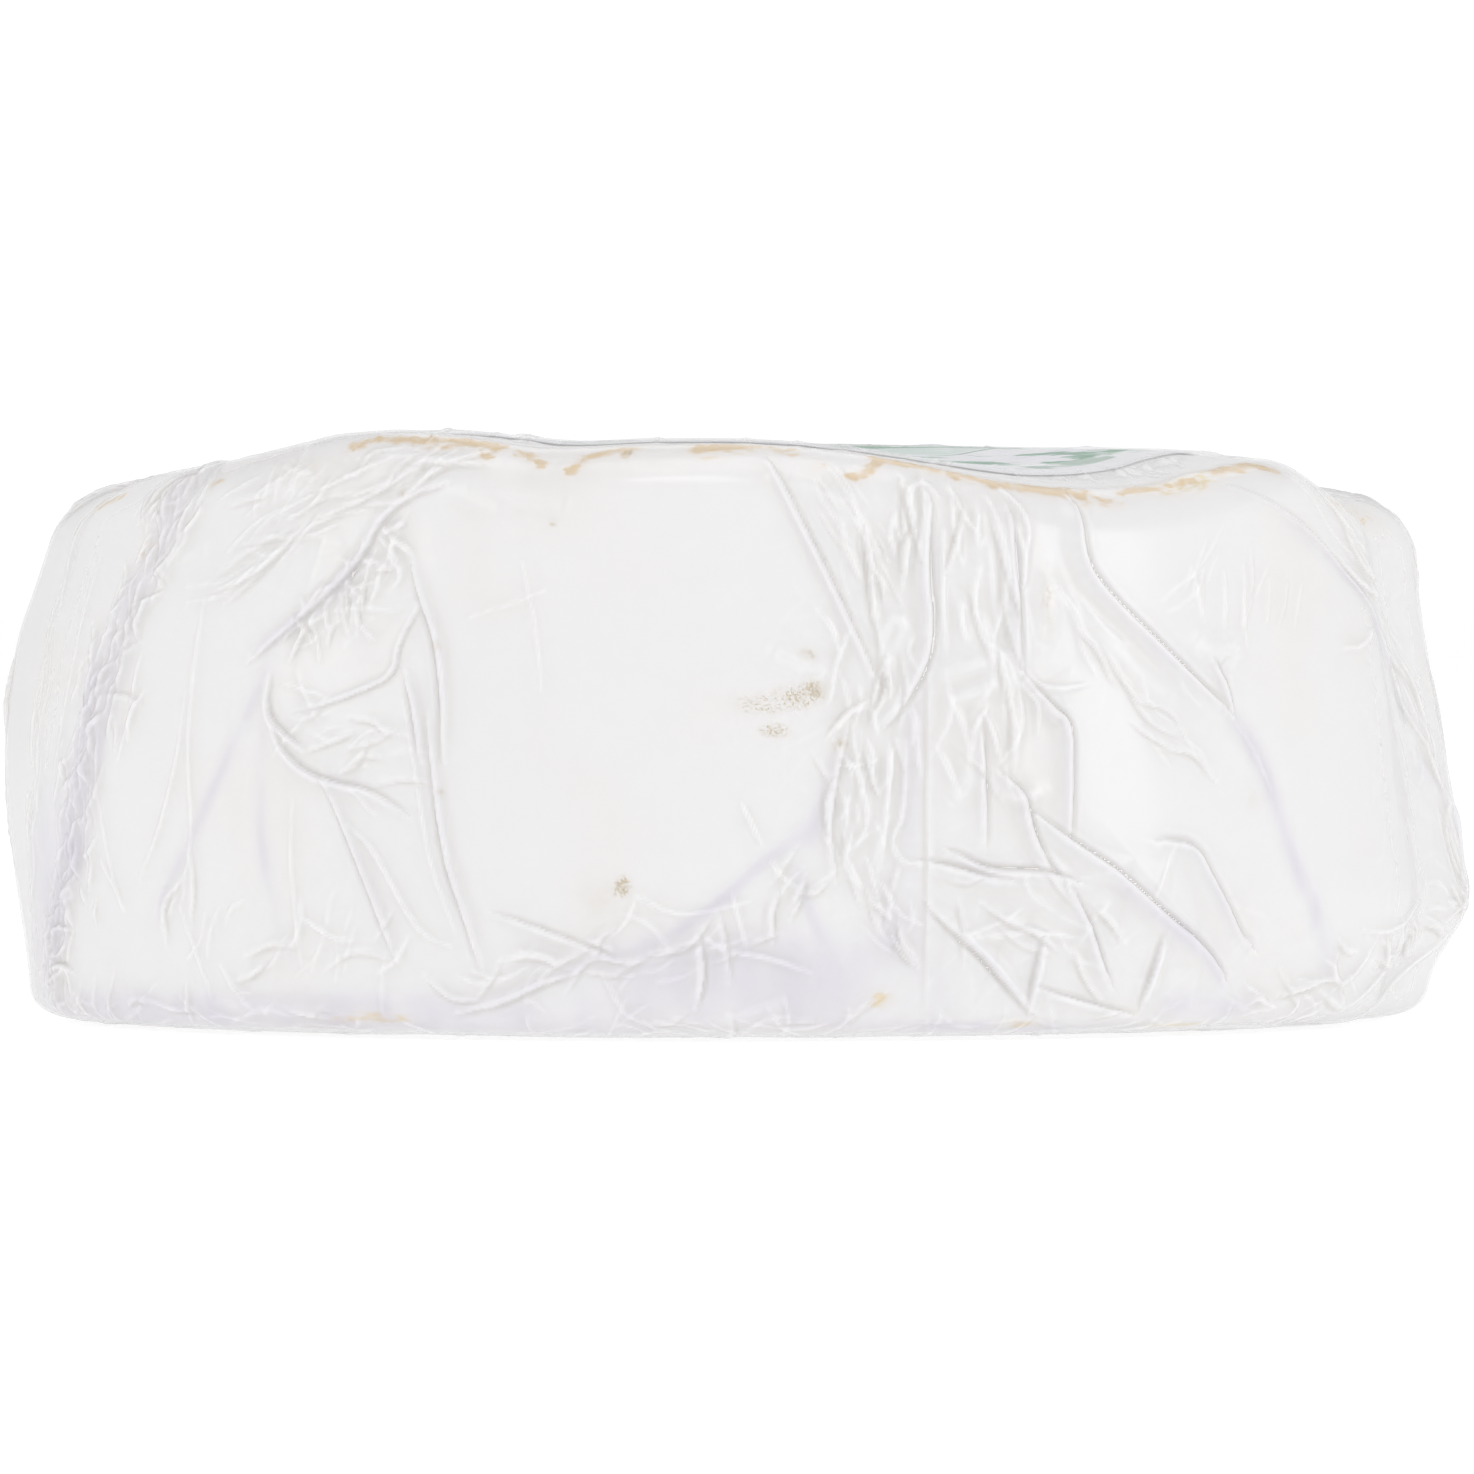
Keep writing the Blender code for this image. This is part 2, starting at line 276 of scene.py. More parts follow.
# Where each stretch of the outline ends: wall heights are plain heights, the rounds follow on
WALL_LOW = BOTTOM_ROUND
WALL_HIGH = DRUM_HEIGHT - TOP_ROUND
ROUND_LOW = WALL_LOW - BOTTOM_ROUND * math.pi / 2
ROUND_HIGH = WALL_HIGH + TOP_ROUND * math.pi / 2


def outline(along):
    """The drum's half section: distance out, height up and outward tilt, at lengths along it."""
    low_tilt = -np.clip((WALL_LOW - along) / BOTTOM_ROUND, 0, math.pi / 2)
    high_tilt = np.clip((along - WALL_HIGH) / TOP_ROUND, 0, math.pi / 2)
    tilt = low_tilt + high_tilt
    out = np.where(
        along < WALL_LOW,
        DRUM_RADIUS - BOTTOM_ROUND * (1 - np.cos(tilt)) - np.maximum(ROUND_LOW - along, 0),
        DRUM_RADIUS - TOP_ROUND * (1 - np.cos(tilt)) - np.maximum(along - ROUND_HIGH, 0))
    up = np.where(along < WALL_LOW, BOTTOM_ROUND * (1 + np.sin(tilt)),
                  np.where(along > WALL_HIGH, WALL_HIGH + TOP_ROUND * np.sin(tilt), along))
    return np.maximum(out, 0), up, tilt


def along_at(up):
    """Length along the outline at a height of the wall or of its rounds."""
    if up > WALL_HIGH:
        return WALL_HIGH + TOP_ROUND * math.asin(min((up - WALL_HIGH) / TOP_ROUND, 1.0))
    if up < WALL_LOW:
        return WALL_LOW - BOTTOM_ROUND * math.asin(min((WALL_LOW - up) / BOTTOM_ROUND, 1.0))
    return up


probe = uneven(np.array([0.0, 90.0, -90.0]), np.full(3, DRUM_RADIUS), np.full(3, DRUM_HEIGHT / 2))
print("the wall half way up lies at", np.round(probe, 4).tolist())

# %% [markdown]
# ## The film laid out flat
# Film that is pulled over a drum takes up its slack in pleats, puckers and crumples. Each
# is a small hill with a sharp crest, so the whole wall is treated as a flat sheet of
# numbers, one for each quarter of a millimetre, that says how far the film stands off the
# wheel. The sheet joins up behind the wheel. Creases are drawn into it like strokes, and the
# meshes are then lifted by it. Further sheets say where the film is doubled, where a
# crease gets painted shade and its crest a painted highlight, and where the rind is stained.

# %% The sheet
HALF_ROUND = math.pi * DRUM_RADIUS
DEGREE = HALF_ROUND / 180
MM = 0.001
SHEET_CELL = 0.00025
SHEET_LOW, SHEET_HIGH = -0.018, 0.104
SHEET_COLUMNS = round(2 * HALF_ROUND / SHEET_CELL)
SHEET_ROWS = round((SHEET_HIGH - SHEET_LOW) / SHEET_CELL)
sheet_round = (np.arange(SHEET_COLUMNS) / SHEET_COLUMNS * 2 - 1) * HALF_ROUND
sheet_along = SHEET_LOW + np.arange(SHEET_ROWS) * SHEET_CELL
# just short of the last row, so that a place on the sheet always has a row above it
LAST_ROW = SHEET_ROWS - 1.001
BLUR_ROUNDS = 2
LEAST_HILLS = 3


def new_sheet(value=0.0):
    """An empty sheet."""
    return np.full((SHEET_ROWS, SHEET_COLUMNS), value, np.float32)


def read_sheet(sheet, bearing, along):
    """Values of a sheet between its cells, at places on the wheel."""
    column = (np.asarray(bearing) / 360 + 0.5) * SHEET_COLUMNS
    row = np.clip((along - SHEET_LOW) / SHEET_CELL, 0, LAST_ROW)
    left, low = np.floor(column).astype(int), np.floor(row).astype(int)
    part_x, part_y = column - left, row - low
    left, right = left % SHEET_COLUMNS, (left + 1) % SHEET_COLUMNS
    lower = sheet[low, left] * (1 - part_x) + sheet[low, right] * part_x
    upper = sheet[low + 1, left] * (1 - part_x) + sheet[low + 1, right] * part_x
    return lower * (1 - part_y) + upper * part_y


def blurred(sheet, reach):
    """The sheet with each value spread evenly over its neighbours within a reach in metres."""
    cells = max(1, round(reach / SHEET_CELL))
    for _ in range(BLUR_ROUNDS):
        wide = np.concatenate([sheet[:, -cells - 1:], sheet, sheet[:, :cells]], 1)
        total = np.cumsum(wide, 1, dtype=np.float64)
        sheet = (total[:, 2 * cells + 1:] - total[:, :-2 * cells - 1]) / (2 * cells + 1)
        tall = np.concatenate([np.repeat(sheet[:1], cells + 1, 0), sheet,
                               np.repeat(sheet[-1:], cells, 0)], 0)
        total = np.cumsum(tall, 0, dtype=np.float64)
        sheet = (total[2 * cells + 1:] - total[:-2 * cells - 1]) / (2 * cells + 1)
    return sheet.astype(np.float32)


def wander(size_round, size_up, seed):
    """A soft random sheet, about -1 to 1, whose hills have these sizes; it joins up behind."""
    draw = np.random.default_rng(seed)
    columns = max(LEAST_HILLS, round(2 * HALF_ROUND / size_round))
    rows = max(LEAST_HILLS, round((SHEET_HIGH - SHEET_LOW) / size_up) + 2)
    lattice = draw.uniform(-1, 1, (rows + 1, columns))
    x = np.arange(SHEET_COLUMNS) / SHEET_COLUMNS * columns
    y = np.arange(SHEET_ROWS) / SHEET_ROWS * (rows - 1)
    left, low = np.floor(x).astype(int), np.floor(y).astype(int)
    ease_x, ease_y = (x - left) ** 2 * (3 - 2 * (x - left)), (y - low) ** 2 * (3 - 2 * (y - low))
    here, after = lattice[:, left % columns], lattice[:, (left + 1) % columns]
    across = here * (1 - ease_x) + after * ease_x
    return (across[low] * (1 - ease_y[:, None]) + across[low + 1] * ease_y[:, None]).astype(
        np.float32)


print("the sheet has", SHEET_ROWS, "rows and", SHEET_COLUMNS, "columns")

# %% [markdown]
# ## Placing a crease
# The creases of the front were read off the photograph, as pixels across and down.
# A line of sight through each pixel is followed to the wall. That gives the bearing and
# the height where the crease really lies on the wheel.

# %% From a pixel to the wall
PIXEL = PICTURE_WIDTH / PICTURE_PIXELS
SIGHT_ROUNDS = 4
MOST_SIDEWAYS = 0.999
CORNER_CUT = 0.25


def on_wall(pixel_across, pixel_down):
    """The place on the flat sheet, round and along, that a pixel of the photograph shows."""
    middle = PICTURE_PIXELS / 2
    lean = math.atan((pixel_across - middle) * PIXEL / CAMERA_AWAY)
    drop = camera_tilt + math.atan((pixel_down - middle) * PIXEL / CAMERA_AWAY)
    y, bearing, up = -DRUM_RADIUS, 0.0, DRUM_HEIGHT / 2
    for _ in range(SIGHT_ROUNDS):
        x = math.tan(lean) * (CAMERA_AWAY + y)
        height = CAMERA_HEIGHT - (CAMERA_AWAY + y) * math.tan(drop)
        up = min(max(height / float(top_height(bearing, 1.0)) * DRUM_HEIGHT, 0.0), DRUM_HEIGHT)
        reach = float(wall_reach(bearing, up / DRUM_HEIGHT))
        bearing = math.degrees(math.asin(min(max(x / reach, -MOST_SIDEWAYS), MOST_SIDEWAYS)))
        y = -reach * math.cos(math.radians(bearing))
    return bearing * DEGREE, along_at(up)


def softened(points, rounds=2):
    """The same line with its corners cut."""
    points = np.array(points, float)
    for _ in range(rounds):
        near = points[:-1] * (1 - CORNER_CUT) + points[1:] * CORNER_CUT
        far = points[:-1] * CORNER_CUT + points[1:] * (1 - CORNER_CUT)
        between = np.stack([near, far], 1).reshape(-1, 2)
        points = np.concatenate([points[:1], between, points[-1:]])
    return points


def pixel_path(points):
    """A path on the sheet, from pixels of the photograph."""
    return softened([on_wall(*point) for point in points])


print("the middle of the picture shows", [round(v / MM, 1) for v in on_wall(737, 737)], "mm")

# %% [markdown]
# ## Drawing a crease
# Three kinds of crease cover what film does. A *pleat* is a doubled strip that lies over
# to one side, so it is steep on that side, with a painted shadow line where it is tucked,
# and slopes gently on the other. A *ridge* is pinched film that stands up with a sharp
# crest. A *swell* is a soft roll over a lump. A *strip* is only doubled film, which looks
# faintly lilac.

# %% Strokes
relief = new_sheet()
layers = new_sheet()
# painted shadow: the dark lines where pleats are tucked
tuck_shadows = new_sheet()
FAR_AWAY = 1e9
HAIR = 1e-12
# how far a stroke reaches to either side, in half widths, and how its ends taper
STROKE_MARGIN = 4
TAPER_START, TAPER_SPAN, TAPER_POWER = 0.05, 0.90, 0.7
# where the film already stands this high, a new crease is lower by this share
FULL_HEIGHT = 0.0014
CROWDING = 0.5
RIDGE_FALL, RIDGE_ROUND = 1.6, 0.01
# the two sides of a pleat and the dip at its foot, in half widths, and the dip's depth
PLEAT_GENTLE, PLEAT_STEEP = 1.5, 0.30
DIP_PLACE, DIP_WIDTH, DIP_DEPTH = 0.6, 0.28, 0.30
# painted shadow: a dark line along the tucked side of a pleat; its place in half widths, its half
# width in metres and its least darkness
TUCK_SHADOW_PLACE = 0.45
TUCK_SHADOW_HALF_WIDTH = 0.00026
TUCK_SHADOW_LEAST = 0.25


def stroke_window(path, margin):
    """Rows and columns of the sheet near a path, and the cells' places there."""
    low_x, high_x = path[:, 0].min() - margin, path[:, 0].max() + margin
    low_y, high_y = path[:, 1].min() - margin, path[:, 1].max() + margin
    columns = np.arange(math.floor((low_x + HALF_ROUND) / SHEET_CELL),
                        math.ceil((high_x + HALF_ROUND) / SHEET_CELL) + 1)
    rows = np.arange(max(0, math.floor((low_y - SHEET_LOW) / SHEET_CELL)),
                     min(SHEET_ROWS, math.ceil((high_y - SHEET_LOW) / SHEET_CELL) + 1))
    x = columns * SHEET_CELL - HALF_ROUND
    y = SHEET_LOW + rows * SHEET_CELL
    return np.ix_(rows, columns % SHEET_COLUMNS), x[None, :], y[:, None]


def measured_from(path, x, y):
    """Signed distance of cells from a path, left of its run positive, and share along it."""
    nearest = np.full(np.broadcast(x, y).shape, FAR_AWAY)
    share_along = np.zeros_like(nearest)
    lengths = np.hypot(*np.diff(path, axis=0).T)
    total, done = lengths.sum(), 0.0
    for (x0, y0), (x1, y1), length in zip(path, path[1:], lengths):
        dx, dy = (x1 - x0) / length, (y1 - y0) / length
        along = np.clip((x - x0) * dx + (y - y0) * dy, 0, length)
        gap_x, gap_y = x - x0 - dx * along, y - y0 - dy * along
        gap = np.hypot(gap_x, gap_y)
        signed = gap * np.sign(dx * gap_y - dy * gap_x + HAIR)
        closer = gap < np.abs(nearest)
        nearest = np.where(closer, signed, nearest)
        share_along = np.where(closer, (done + along) / total, share_along)
        done += length
    return nearest, share_along


def draw_crease(kind, height, width, path, doubled=0.0):
    """Draws one crease into the relief, its tuck's painted shadow line and its doubled film into
    their sheets.
    """
    path = np.asarray(path, float)
    cells, x, y = stroke_window(path, STROKE_MARGIN * width)
    if not relief[cells].size:
        return
    gap, share = measured_from(path, x, y)
    taper = np.sin(math.pi * (TAPER_START + TAPER_SPAN * share)) ** TAPER_POWER
    reach = np.abs(gap) / width
    room = 1 - CROWDING * np.clip(relief[cells] / FULL_HEIGHT, 0, 1)
    if kind == "swell":
        relief[cells] += height * taper * np.exp(-reach ** 2)
    elif kind == "ridge":
        crest_line = np.exp(-RIDGE_FALL * np.sqrt(reach ** 2 + RIDGE_ROUND))
        relief[cells] += room * height * taper * crest_line
    elif kind == "pleat":
        gentle = np.exp(-(reach / PLEAT_GENTLE) ** 2)
        dip = DIP_DEPTH * np.exp(-((reach - DIP_PLACE) / DIP_WIDTH) ** 2)
        steep = np.exp(-(reach / PLEAT_STEEP) ** 2) - dip
        relief[cells] += room * height * taper * np.where(gap > 0, gentle, steep)
        # painted shadow: the dark line where the pleat is tucked under
        line = np.exp(-((gap + TUCK_SHADOW_PLACE * width) / TUCK_SHADOW_HALF_WIDTH) ** 2)
        dark = min(TUCK_SHADOW_LEAST + height / FULL_HEIGHT, 1.0)
        tuck_shadows[cells] = np.maximum(tuck_shadows[cells], taper * line * dark)
    if doubled:
        strip = doubled * taper * np.exp(-reach ** 4)
        layers[cells] = np.maximum(layers[cells], strip)


# %% Creases of the front
# kind, height and half width in the two units here, pixels of the photograph along it. A
# swell's half width is in millimetres, and a pleat's steep side is on the right of its run.
HEIGHT_UNIT, WIDTH_UNIT = 0.00080, 0.00062
FRONT_CREASES = (
    # the long straight pleat right of the middle, and what hangs from it
    ("pleat", 0.9, 1.0, ((877, 682), (850, 622), (820, 560), (795, 510), (769, 462))),
    ("swell", 0.5, 1.4, ((790, 478), (835, 498), (862, 540))),
    # upright folds between the stain and the big diagonal
    ("pleat", 1.5, 1.6, ((890, 720), (918, 680), (933, 640), (925, 560), (930, 503))),
    ("ridge", 0.8, 1.1, ((943, 530), (942, 600), (946, 655))),
    ("ridge", 1.0, 1.3, ((992, 497), (1006, 545), (1005, 600), (992, 645))),
    ("pleat", 1.5, 1.7, ((1022, 672), (1018, 620), (1014, 560), (1012, 512))),
    ("pleat", 1.3, 1.6, ((1069, 832), (1070, 770), (1070, 722), (1052, 708), (1022, 672))),
    ("swell", 0.7, 2.0, ((1046, 560), (1052, 600), (1040, 640))),
    ("ridge", 0.9, 1.1, ((910, 505), (912, 488), (926, 484), (940, 496))),
    ("ridge", 0.7, 0.9, ((954, 490), (964, 515), (980, 534))),
    ("swell", 0.7, 1.3, ((880, 650), (894, 616), (904, 630), (890, 655))),
    ("swell", 0.7, 1.3, ((944, 672), (980, 662), (1012, 652))),
    ("swell", 0.7, 1.2, ((948, 700), (975, 692), (1004, 680))),
    ("ridge", 0.8, 1.0, ((970, 758), (974, 725), (986, 708))),
    ("ridge", 0.8, 1.0, ((1000, 760), (992, 728), (984, 712))),
    ("ridge", 0.7, 1.0, ((1026, 672), (1048, 690), (1088, 684))),
    ("pleat", 0.9, 1.2, ((986, 842), (984, 782), (981, 720))),
    ("swell", 0.8, 1.4, ((952, 800), (970, 784), (972, 752))),
    ("swell", 0.7, 1.2, ((1000, 790), (1020, 800), (1044, 790))),
    # the big diagonal
    ("pleat", 1.7, 2.2, ((1222, 708), (1190, 680), (1150, 640), (1110, 598), (1084, 560),
                         (1082, 505))),
    ("swell", 0.8, 2.2, ((1074, 600), (1116, 652), (1165, 700))),
    ("ridge", 0.4, 0.9, ((1222, 708), (1250, 742), (1272, 790))),
    # the pucker right of it, and the thin upright lines above
    ("swell", 0.8, 1.7, ((1196, 640), (1210, 652), (1232, 648), (1228, 672))),
    ("pleat", 0.8, 1.0, ((1232, 714), (1226, 688), (1212, 662))),
    ("ridge", 0.3, 0.7, ((1190, 566), (1198, 600), (1202, 622))),
    ("ridge", 0.3, 0.7, ((1222, 572), (1224, 604), (1222, 640))),
    ("ridge", 0.35, 0.7, ((1242, 566), (1242, 625), (1246, 648))),
    # right edge
    ("swell", 0.9, 2.2, ((1340, 500), (1358, 540), (1376, 590), (1396, 690), (1424, 745))),
    ("pleat", 0.4, 0.9, ((1410, 722), (1385, 640), (1370, 598), (1330, 552), (1296, 520),
                         (1240, 488))),
    ("ridge", 0.6, 0.9, ((1345, 648), (1362, 646), (1375, 628))),
    ("swell", 0.8, 1.9, ((1408, 722), (1424, 766), (1446, 820), (1452, 856))),
    # lower right fan
    ("pleat", 1.1, 1.5, ((1006, 881), (992, 880), (954, 868), (927, 862))),
    ("pleat", 1.2, 1.6, ((1072, 881), (1040, 872), (990, 872), (955, 853))),
    ("pleat", 1.5, 1.8, ((1222, 976), (1198, 944), (1162, 918), (1122, 878), (1094, 858),
                         (1064, 838), (1036, 816))),
    ("pleat", 1.2, 1.4, ((1050, 870), (1030, 830), (1024, 794), (1004, 776))),
    ("pleat", 1.2, 1.5, ((932, 908), (958, 934), (986, 958), (1012, 990), (1032, 1012))),
    ("pleat", 0.9, 1.3, ((1043, 940), (1036, 972), (1030, 1006))),
    ("ridge", 0.7, 1.3, ((974, 938), (1020, 930), (1076, 938))),
    ("pleat", 1.1, 1.4, ((1108, 982), (1100, 966), (1088, 928), (1072, 892))),
    ("pleat", 0.9, 1.3, ((1162, 938), (1154, 966), (1140, 1004))),
    ("pleat", 0.7, 1.3, ((1132, 1016), (1072, 1000), (1036, 988))),
    ("pleat", 1.1, 2.2, ((1250, 946), (1236, 934), (1210, 880), (1194, 846), (1162, 842))),
    ("ridge", 0.4, 0.9, ((1172, 846), (1158, 886), (1152, 902))),
    ("ridge", 1.1, 1.5, ((1436, 932), (1416, 970), (1386, 1000), (1362, 1024))),
    ("ridge", 0.9, 1.2, ((1404, 926), (1402, 950), (1372, 986), (1348, 1010))),
    ("ridge", 0.8, 1.1, ((1378, 940), (1362, 970), (1332, 992))),
    ("ridge", 0.7, 1.0, ((1366, 930), (1394, 932), (1422, 902))),
    # the sweep at the upper left, down to the knot beside the glossy patch
    ("pleat", 0.9, 1.3, ((255, 658), (276, 638), (304, 616), (336, 584), (362, 556),
                         (380, 518), (412, 492), (440, 484))),
    ("ridge", 0.5, 0.9, ((252, 540), (264, 522), (300, 502), (342, 480), (404, 452))),
    ("swell", 0.5, 1.5, ((438, 482), (470, 492), (500, 506))),
    ("swell", 0.5, 1.6, ((470, 482), (504, 488), (534, 496), (564, 502))),
    ("ridge", 0.25, 0.7, ((470, 616), (500, 606), (544, 590))),
    ("ridge", 0.25, 0.6, ((522, 560), (530, 600), (538, 640), (541, 690))),
    # long upright folds of the left
    ("pleat", 1.0, 1.1, ((411, 566), (420, 598), (431, 628), (437, 656), (442, 700),
                         (443, 760))),
    ("pleat", 0.9, 1.1, ((428, 720), (434, 780), (446, 862), (462, 906), (482, 966))),
    ("ridge", 0.4, 0.8, ((404, 700), (418, 780), (430, 860), (456, 930))),
    ("ridge", 0.4, 0.7, ((294, 800), (292, 860), (298, 920), (302, 966))),
    ("ridge", 0.45, 0.8, ((188, 690), (180, 760), (160, 830), (138, 880))),
    ("ridge", 0.45, 0.8, ((206, 600), (194, 680), (190, 760), (194, 830), (180, 910))),
    ("swell", 0.6, 1.6, ((204, 552), (152, 572), (118, 622), (94, 664), (80, 720))),
    ("ridge", 0.35, 0.8, ((96, 780), (108, 860), (122, 910))),
    ("ridge", 0.35, 0.8, ((100, 560), (84, 620), (66, 700), (50, 800))),
    # the glossy patch
    ("pleat", 0.6, 0.8, ((296, 712), (328, 704), (360, 692), (394, 676), (398, 642),
                         (420, 604))),
    ("ridge", 0.4, 0.8, ((284, 684), (306, 690), (328, 697))),
    ("pleat", 0.8, 1.0, ((302, 748), (288, 736), (274, 722), (268, 706), (271, 678))),
    ("pleat", 0.8, 1.2, ((404, 812), (370, 790), (336, 784), (304, 772), (280, 748),
                         (272, 720))),
    ("ridge", 0.5, 0.9, ((318, 592), (338, 582), (354, 578))),
    ("ridge", 0.5, 0.9, ((332, 610), (358, 607), (396, 608))),
    ("ridge", 0.5, 0.8, ((356, 612), (362, 628), (374, 640))),
    ("ridge", 0.5, 0.8, ((312, 620), (318, 640), (320, 664))),
    ("pleat", 0.8, 1.0, ((404, 676), (414, 712), (420, 760))),
    # folds under the patch
    ("pleat", 0.7, 1.0, ((322, 778), (344, 824), (366, 880), (382, 922), (398, 960))),
    ("ridge", 0.6, 0.9, ((350, 824), (376, 850), (408, 912), (428, 938), (452, 946))),
    ("ridge", 0.4, 0.8, ((180, 908), (192, 944), (204, 976), (210, 998))),
    ("ridge", 0.5, 0.8, ((220, 966), (236, 994), (252, 992))),
    ("swell", 0.6, 1.3, ((220, 1002), (272, 1010), (320, 1016), (382, 1020))),
    ("ridge", 0.6, 0.8, ((304, 918), (336, 940), (354, 940))),
    ("ridge", 0.5, 0.9, ((100, 860), (116, 890), (124, 910))),
    # bottom, middle
    ("ridge", 0.5, 0.9, ((636, 896), (680, 918), (748, 902))),
    ("pleat", 0.8, 1.0, ((462, 1013), (504, 1004), (542, 985), (580, 972))),
    ("pleat", 0.6, 1.0, ((612, 957), (580, 944), (538, 928), (498, 914))),
    ("ridge", 0.7, 0.9, ((528, 992), (548, 975), (576, 956))),
    ("ridge", 0.5, 0.9, ((604, 974), (616, 998), (630, 1020), (686, 1038))),
    ("pleat", 0.9, 1.1, ((698, 1004), (704, 976), (700, 940))),
    ("ridge", 0.9, 1.1, ((704, 940), (732, 953), (764, 956), (810, 972))),
    ("ridge", 0.5, 0.7, ((742, 803), (752, 824), (762, 844))),
    ("ridge", 0.6, 0.9, ((732, 892), (740, 924), (748, 952))),
    ("ridge", 0.6, 0.9, ((770, 860), (784, 880), (800, 888))),
    ("pleat", 0.7, 0.9, ((774, 940), (772, 916), (778, 896))),
    ("swell", 0.5, 1.3, ((720, 1022), (758, 1010), (790, 998))),
    # around the stain and in the lilac strip
    ("swell", 0.7, 1.5, ((774, 652), (796, 664), (822, 672), (834, 684))),
    ("ridge", 0.5, 0.9, ((816, 610), (834, 630), (842, 664))),
    ("pleat", 0.7, 0.9, ((836, 880), (830, 830), (836, 780), (848, 730))),
    ("ridge", 0.8, 1.0, ((854, 724), (856, 758), (872, 826), (850, 850))),
    ("ridge", 0.7, 1.0, ((890, 740), (888, 790), (882, 868))),
    ("ridge", 0.7, 0.9, ((906, 742), (905, 815), (890, 842), (902, 862), (922, 864))),
    ("ridge", 0.5, 0.8, ((880, 880), (896, 912), (924, 926))),
)
# Strips of doubled film, which are flat and lilac: how strongly, half width in mm, pixels
DOUBLED_STRIPS = (
    (0.45, 3.0, ((196, 470), (164, 545), (132, 610), (118, 650))),
    (0.95, 4.2, ((124, 630), (104, 680), (86, 760), (70, 850), (52, 940), (46, 1004))),
    (0.7, 7.0, ((60, 780), (44, 860), (40, 960), (44, 1010))),
    (0.8, 1.0, ((256, 650), (306, 616), (338, 584), (366, 552))),
    (0.7, 0.9, ((272, 660), (246, 720), (214, 790), (192, 840), (168, 880), (150, 930))),
    (0.6, 0.9, ((268, 700), (260, 780), (262, 850), (276, 915), (294, 966))),
    (0.8, 0.8, ((460, 1012), (542, 984), (606, 956), (660, 944), (724, 900), (766, 860),
                (796, 838), (824, 806))),
    (0.8, 0.9, ((794, 858), (806, 900), (822, 938), (828, 970))),
    (0.7, 1.3, ((840, 756), (828, 786), (820, 830), (792, 850))),
    (0.6, 3.2, ((902, 868), (904, 925), (904, 988))),
    (0.5, 1.4, ((916, 700), (912, 790), (908, 868))),
    (0.6, 0.8, ((1284, 526), (1330, 556), (1372, 602), (1382, 640), (1410, 722))),
    (0.8, 1.5, ((1222, 712), (1256, 746), (1276, 800), (1290, 840), (1306, 880), (1326, 930),
                (1330, 972))),
    (0.8, 1.2, ((1116, 884), (1152, 912), (1188, 938), (1212, 960), (1224, 990))),
    (0.6, 2.0, ((1146, 1004), (1184, 1004), (1222, 1010), (1254, 1006))),
    (0.7, 3.2, ((40, 1004), (200, 1016), (350, 1014), (450, 1018), (560, 1024), (700, 1028))),
    (0.7, 6.5, ((560, 990), (700, 985), (850, 980), (925, 985))),
    (0.6, 1.4, ((700, 1036), (800, 1020), (860, 1028), (960, 1030), (1130, 1032))),
    (0.5, 1.2, ((1424, 760), (1440, 830), (1452, 880), (1440, 940))),
)
# Where one sheet of film ends on the front: its edge is a small step, drawn as a pleat, and
# shows as a line with a painted shadow
SHEET_EDGE = ((928, 640), (929, 720), (928, 800), (929, 900), (927, 1000))
SHEET_EDGE_TALL, SHEET_EDGE_WIDE = 0.25 * MM, 0.8 * MM
PLEAT_DOUBLED = 0.3


def draw_front():
    """All listed creases and strips of the front."""
    for kind, height, width, points in FRONT_CREASES:
        doubled = PLEAT_DOUBLED if kind == "pleat" else 0.0
        unit = WIDTH_UNIT if kind != "swell" else MM
        draw_crease(kind, height * HEIGHT_UNIT, width * unit, pixel_path(points), doubled)
    for strength, width, points in DOUBLED_STRIPS:
        draw_crease("strip", 0.0, width * MM, pixel_path(points), strength)
    draw_crease("pleat", SHEET_EDGE_TALL, SHEET_EDGE_WIDE, pixel_path(SHEET_EDGE))


draw_front()
print(len(FRONT_CREASES), "creases and", len(DOUBLED_STRIPS), "strips; highest",
      round(float(relief.max()) / MM, 2), "mm")

# %% [markdown]
# ## Families of small wrinkles
# Between the creases that are seen one by one there are hundreds of fine ones. They come
# in families: puckers that hang from the rim, crinkles that run along the strip where the
# wrap was twisted, and gathers that are tucked under. A family follows a line, within a
# spread to either side, and its wrinkles are turned from the line by about the same angle.
# A seeded draw scatters them.

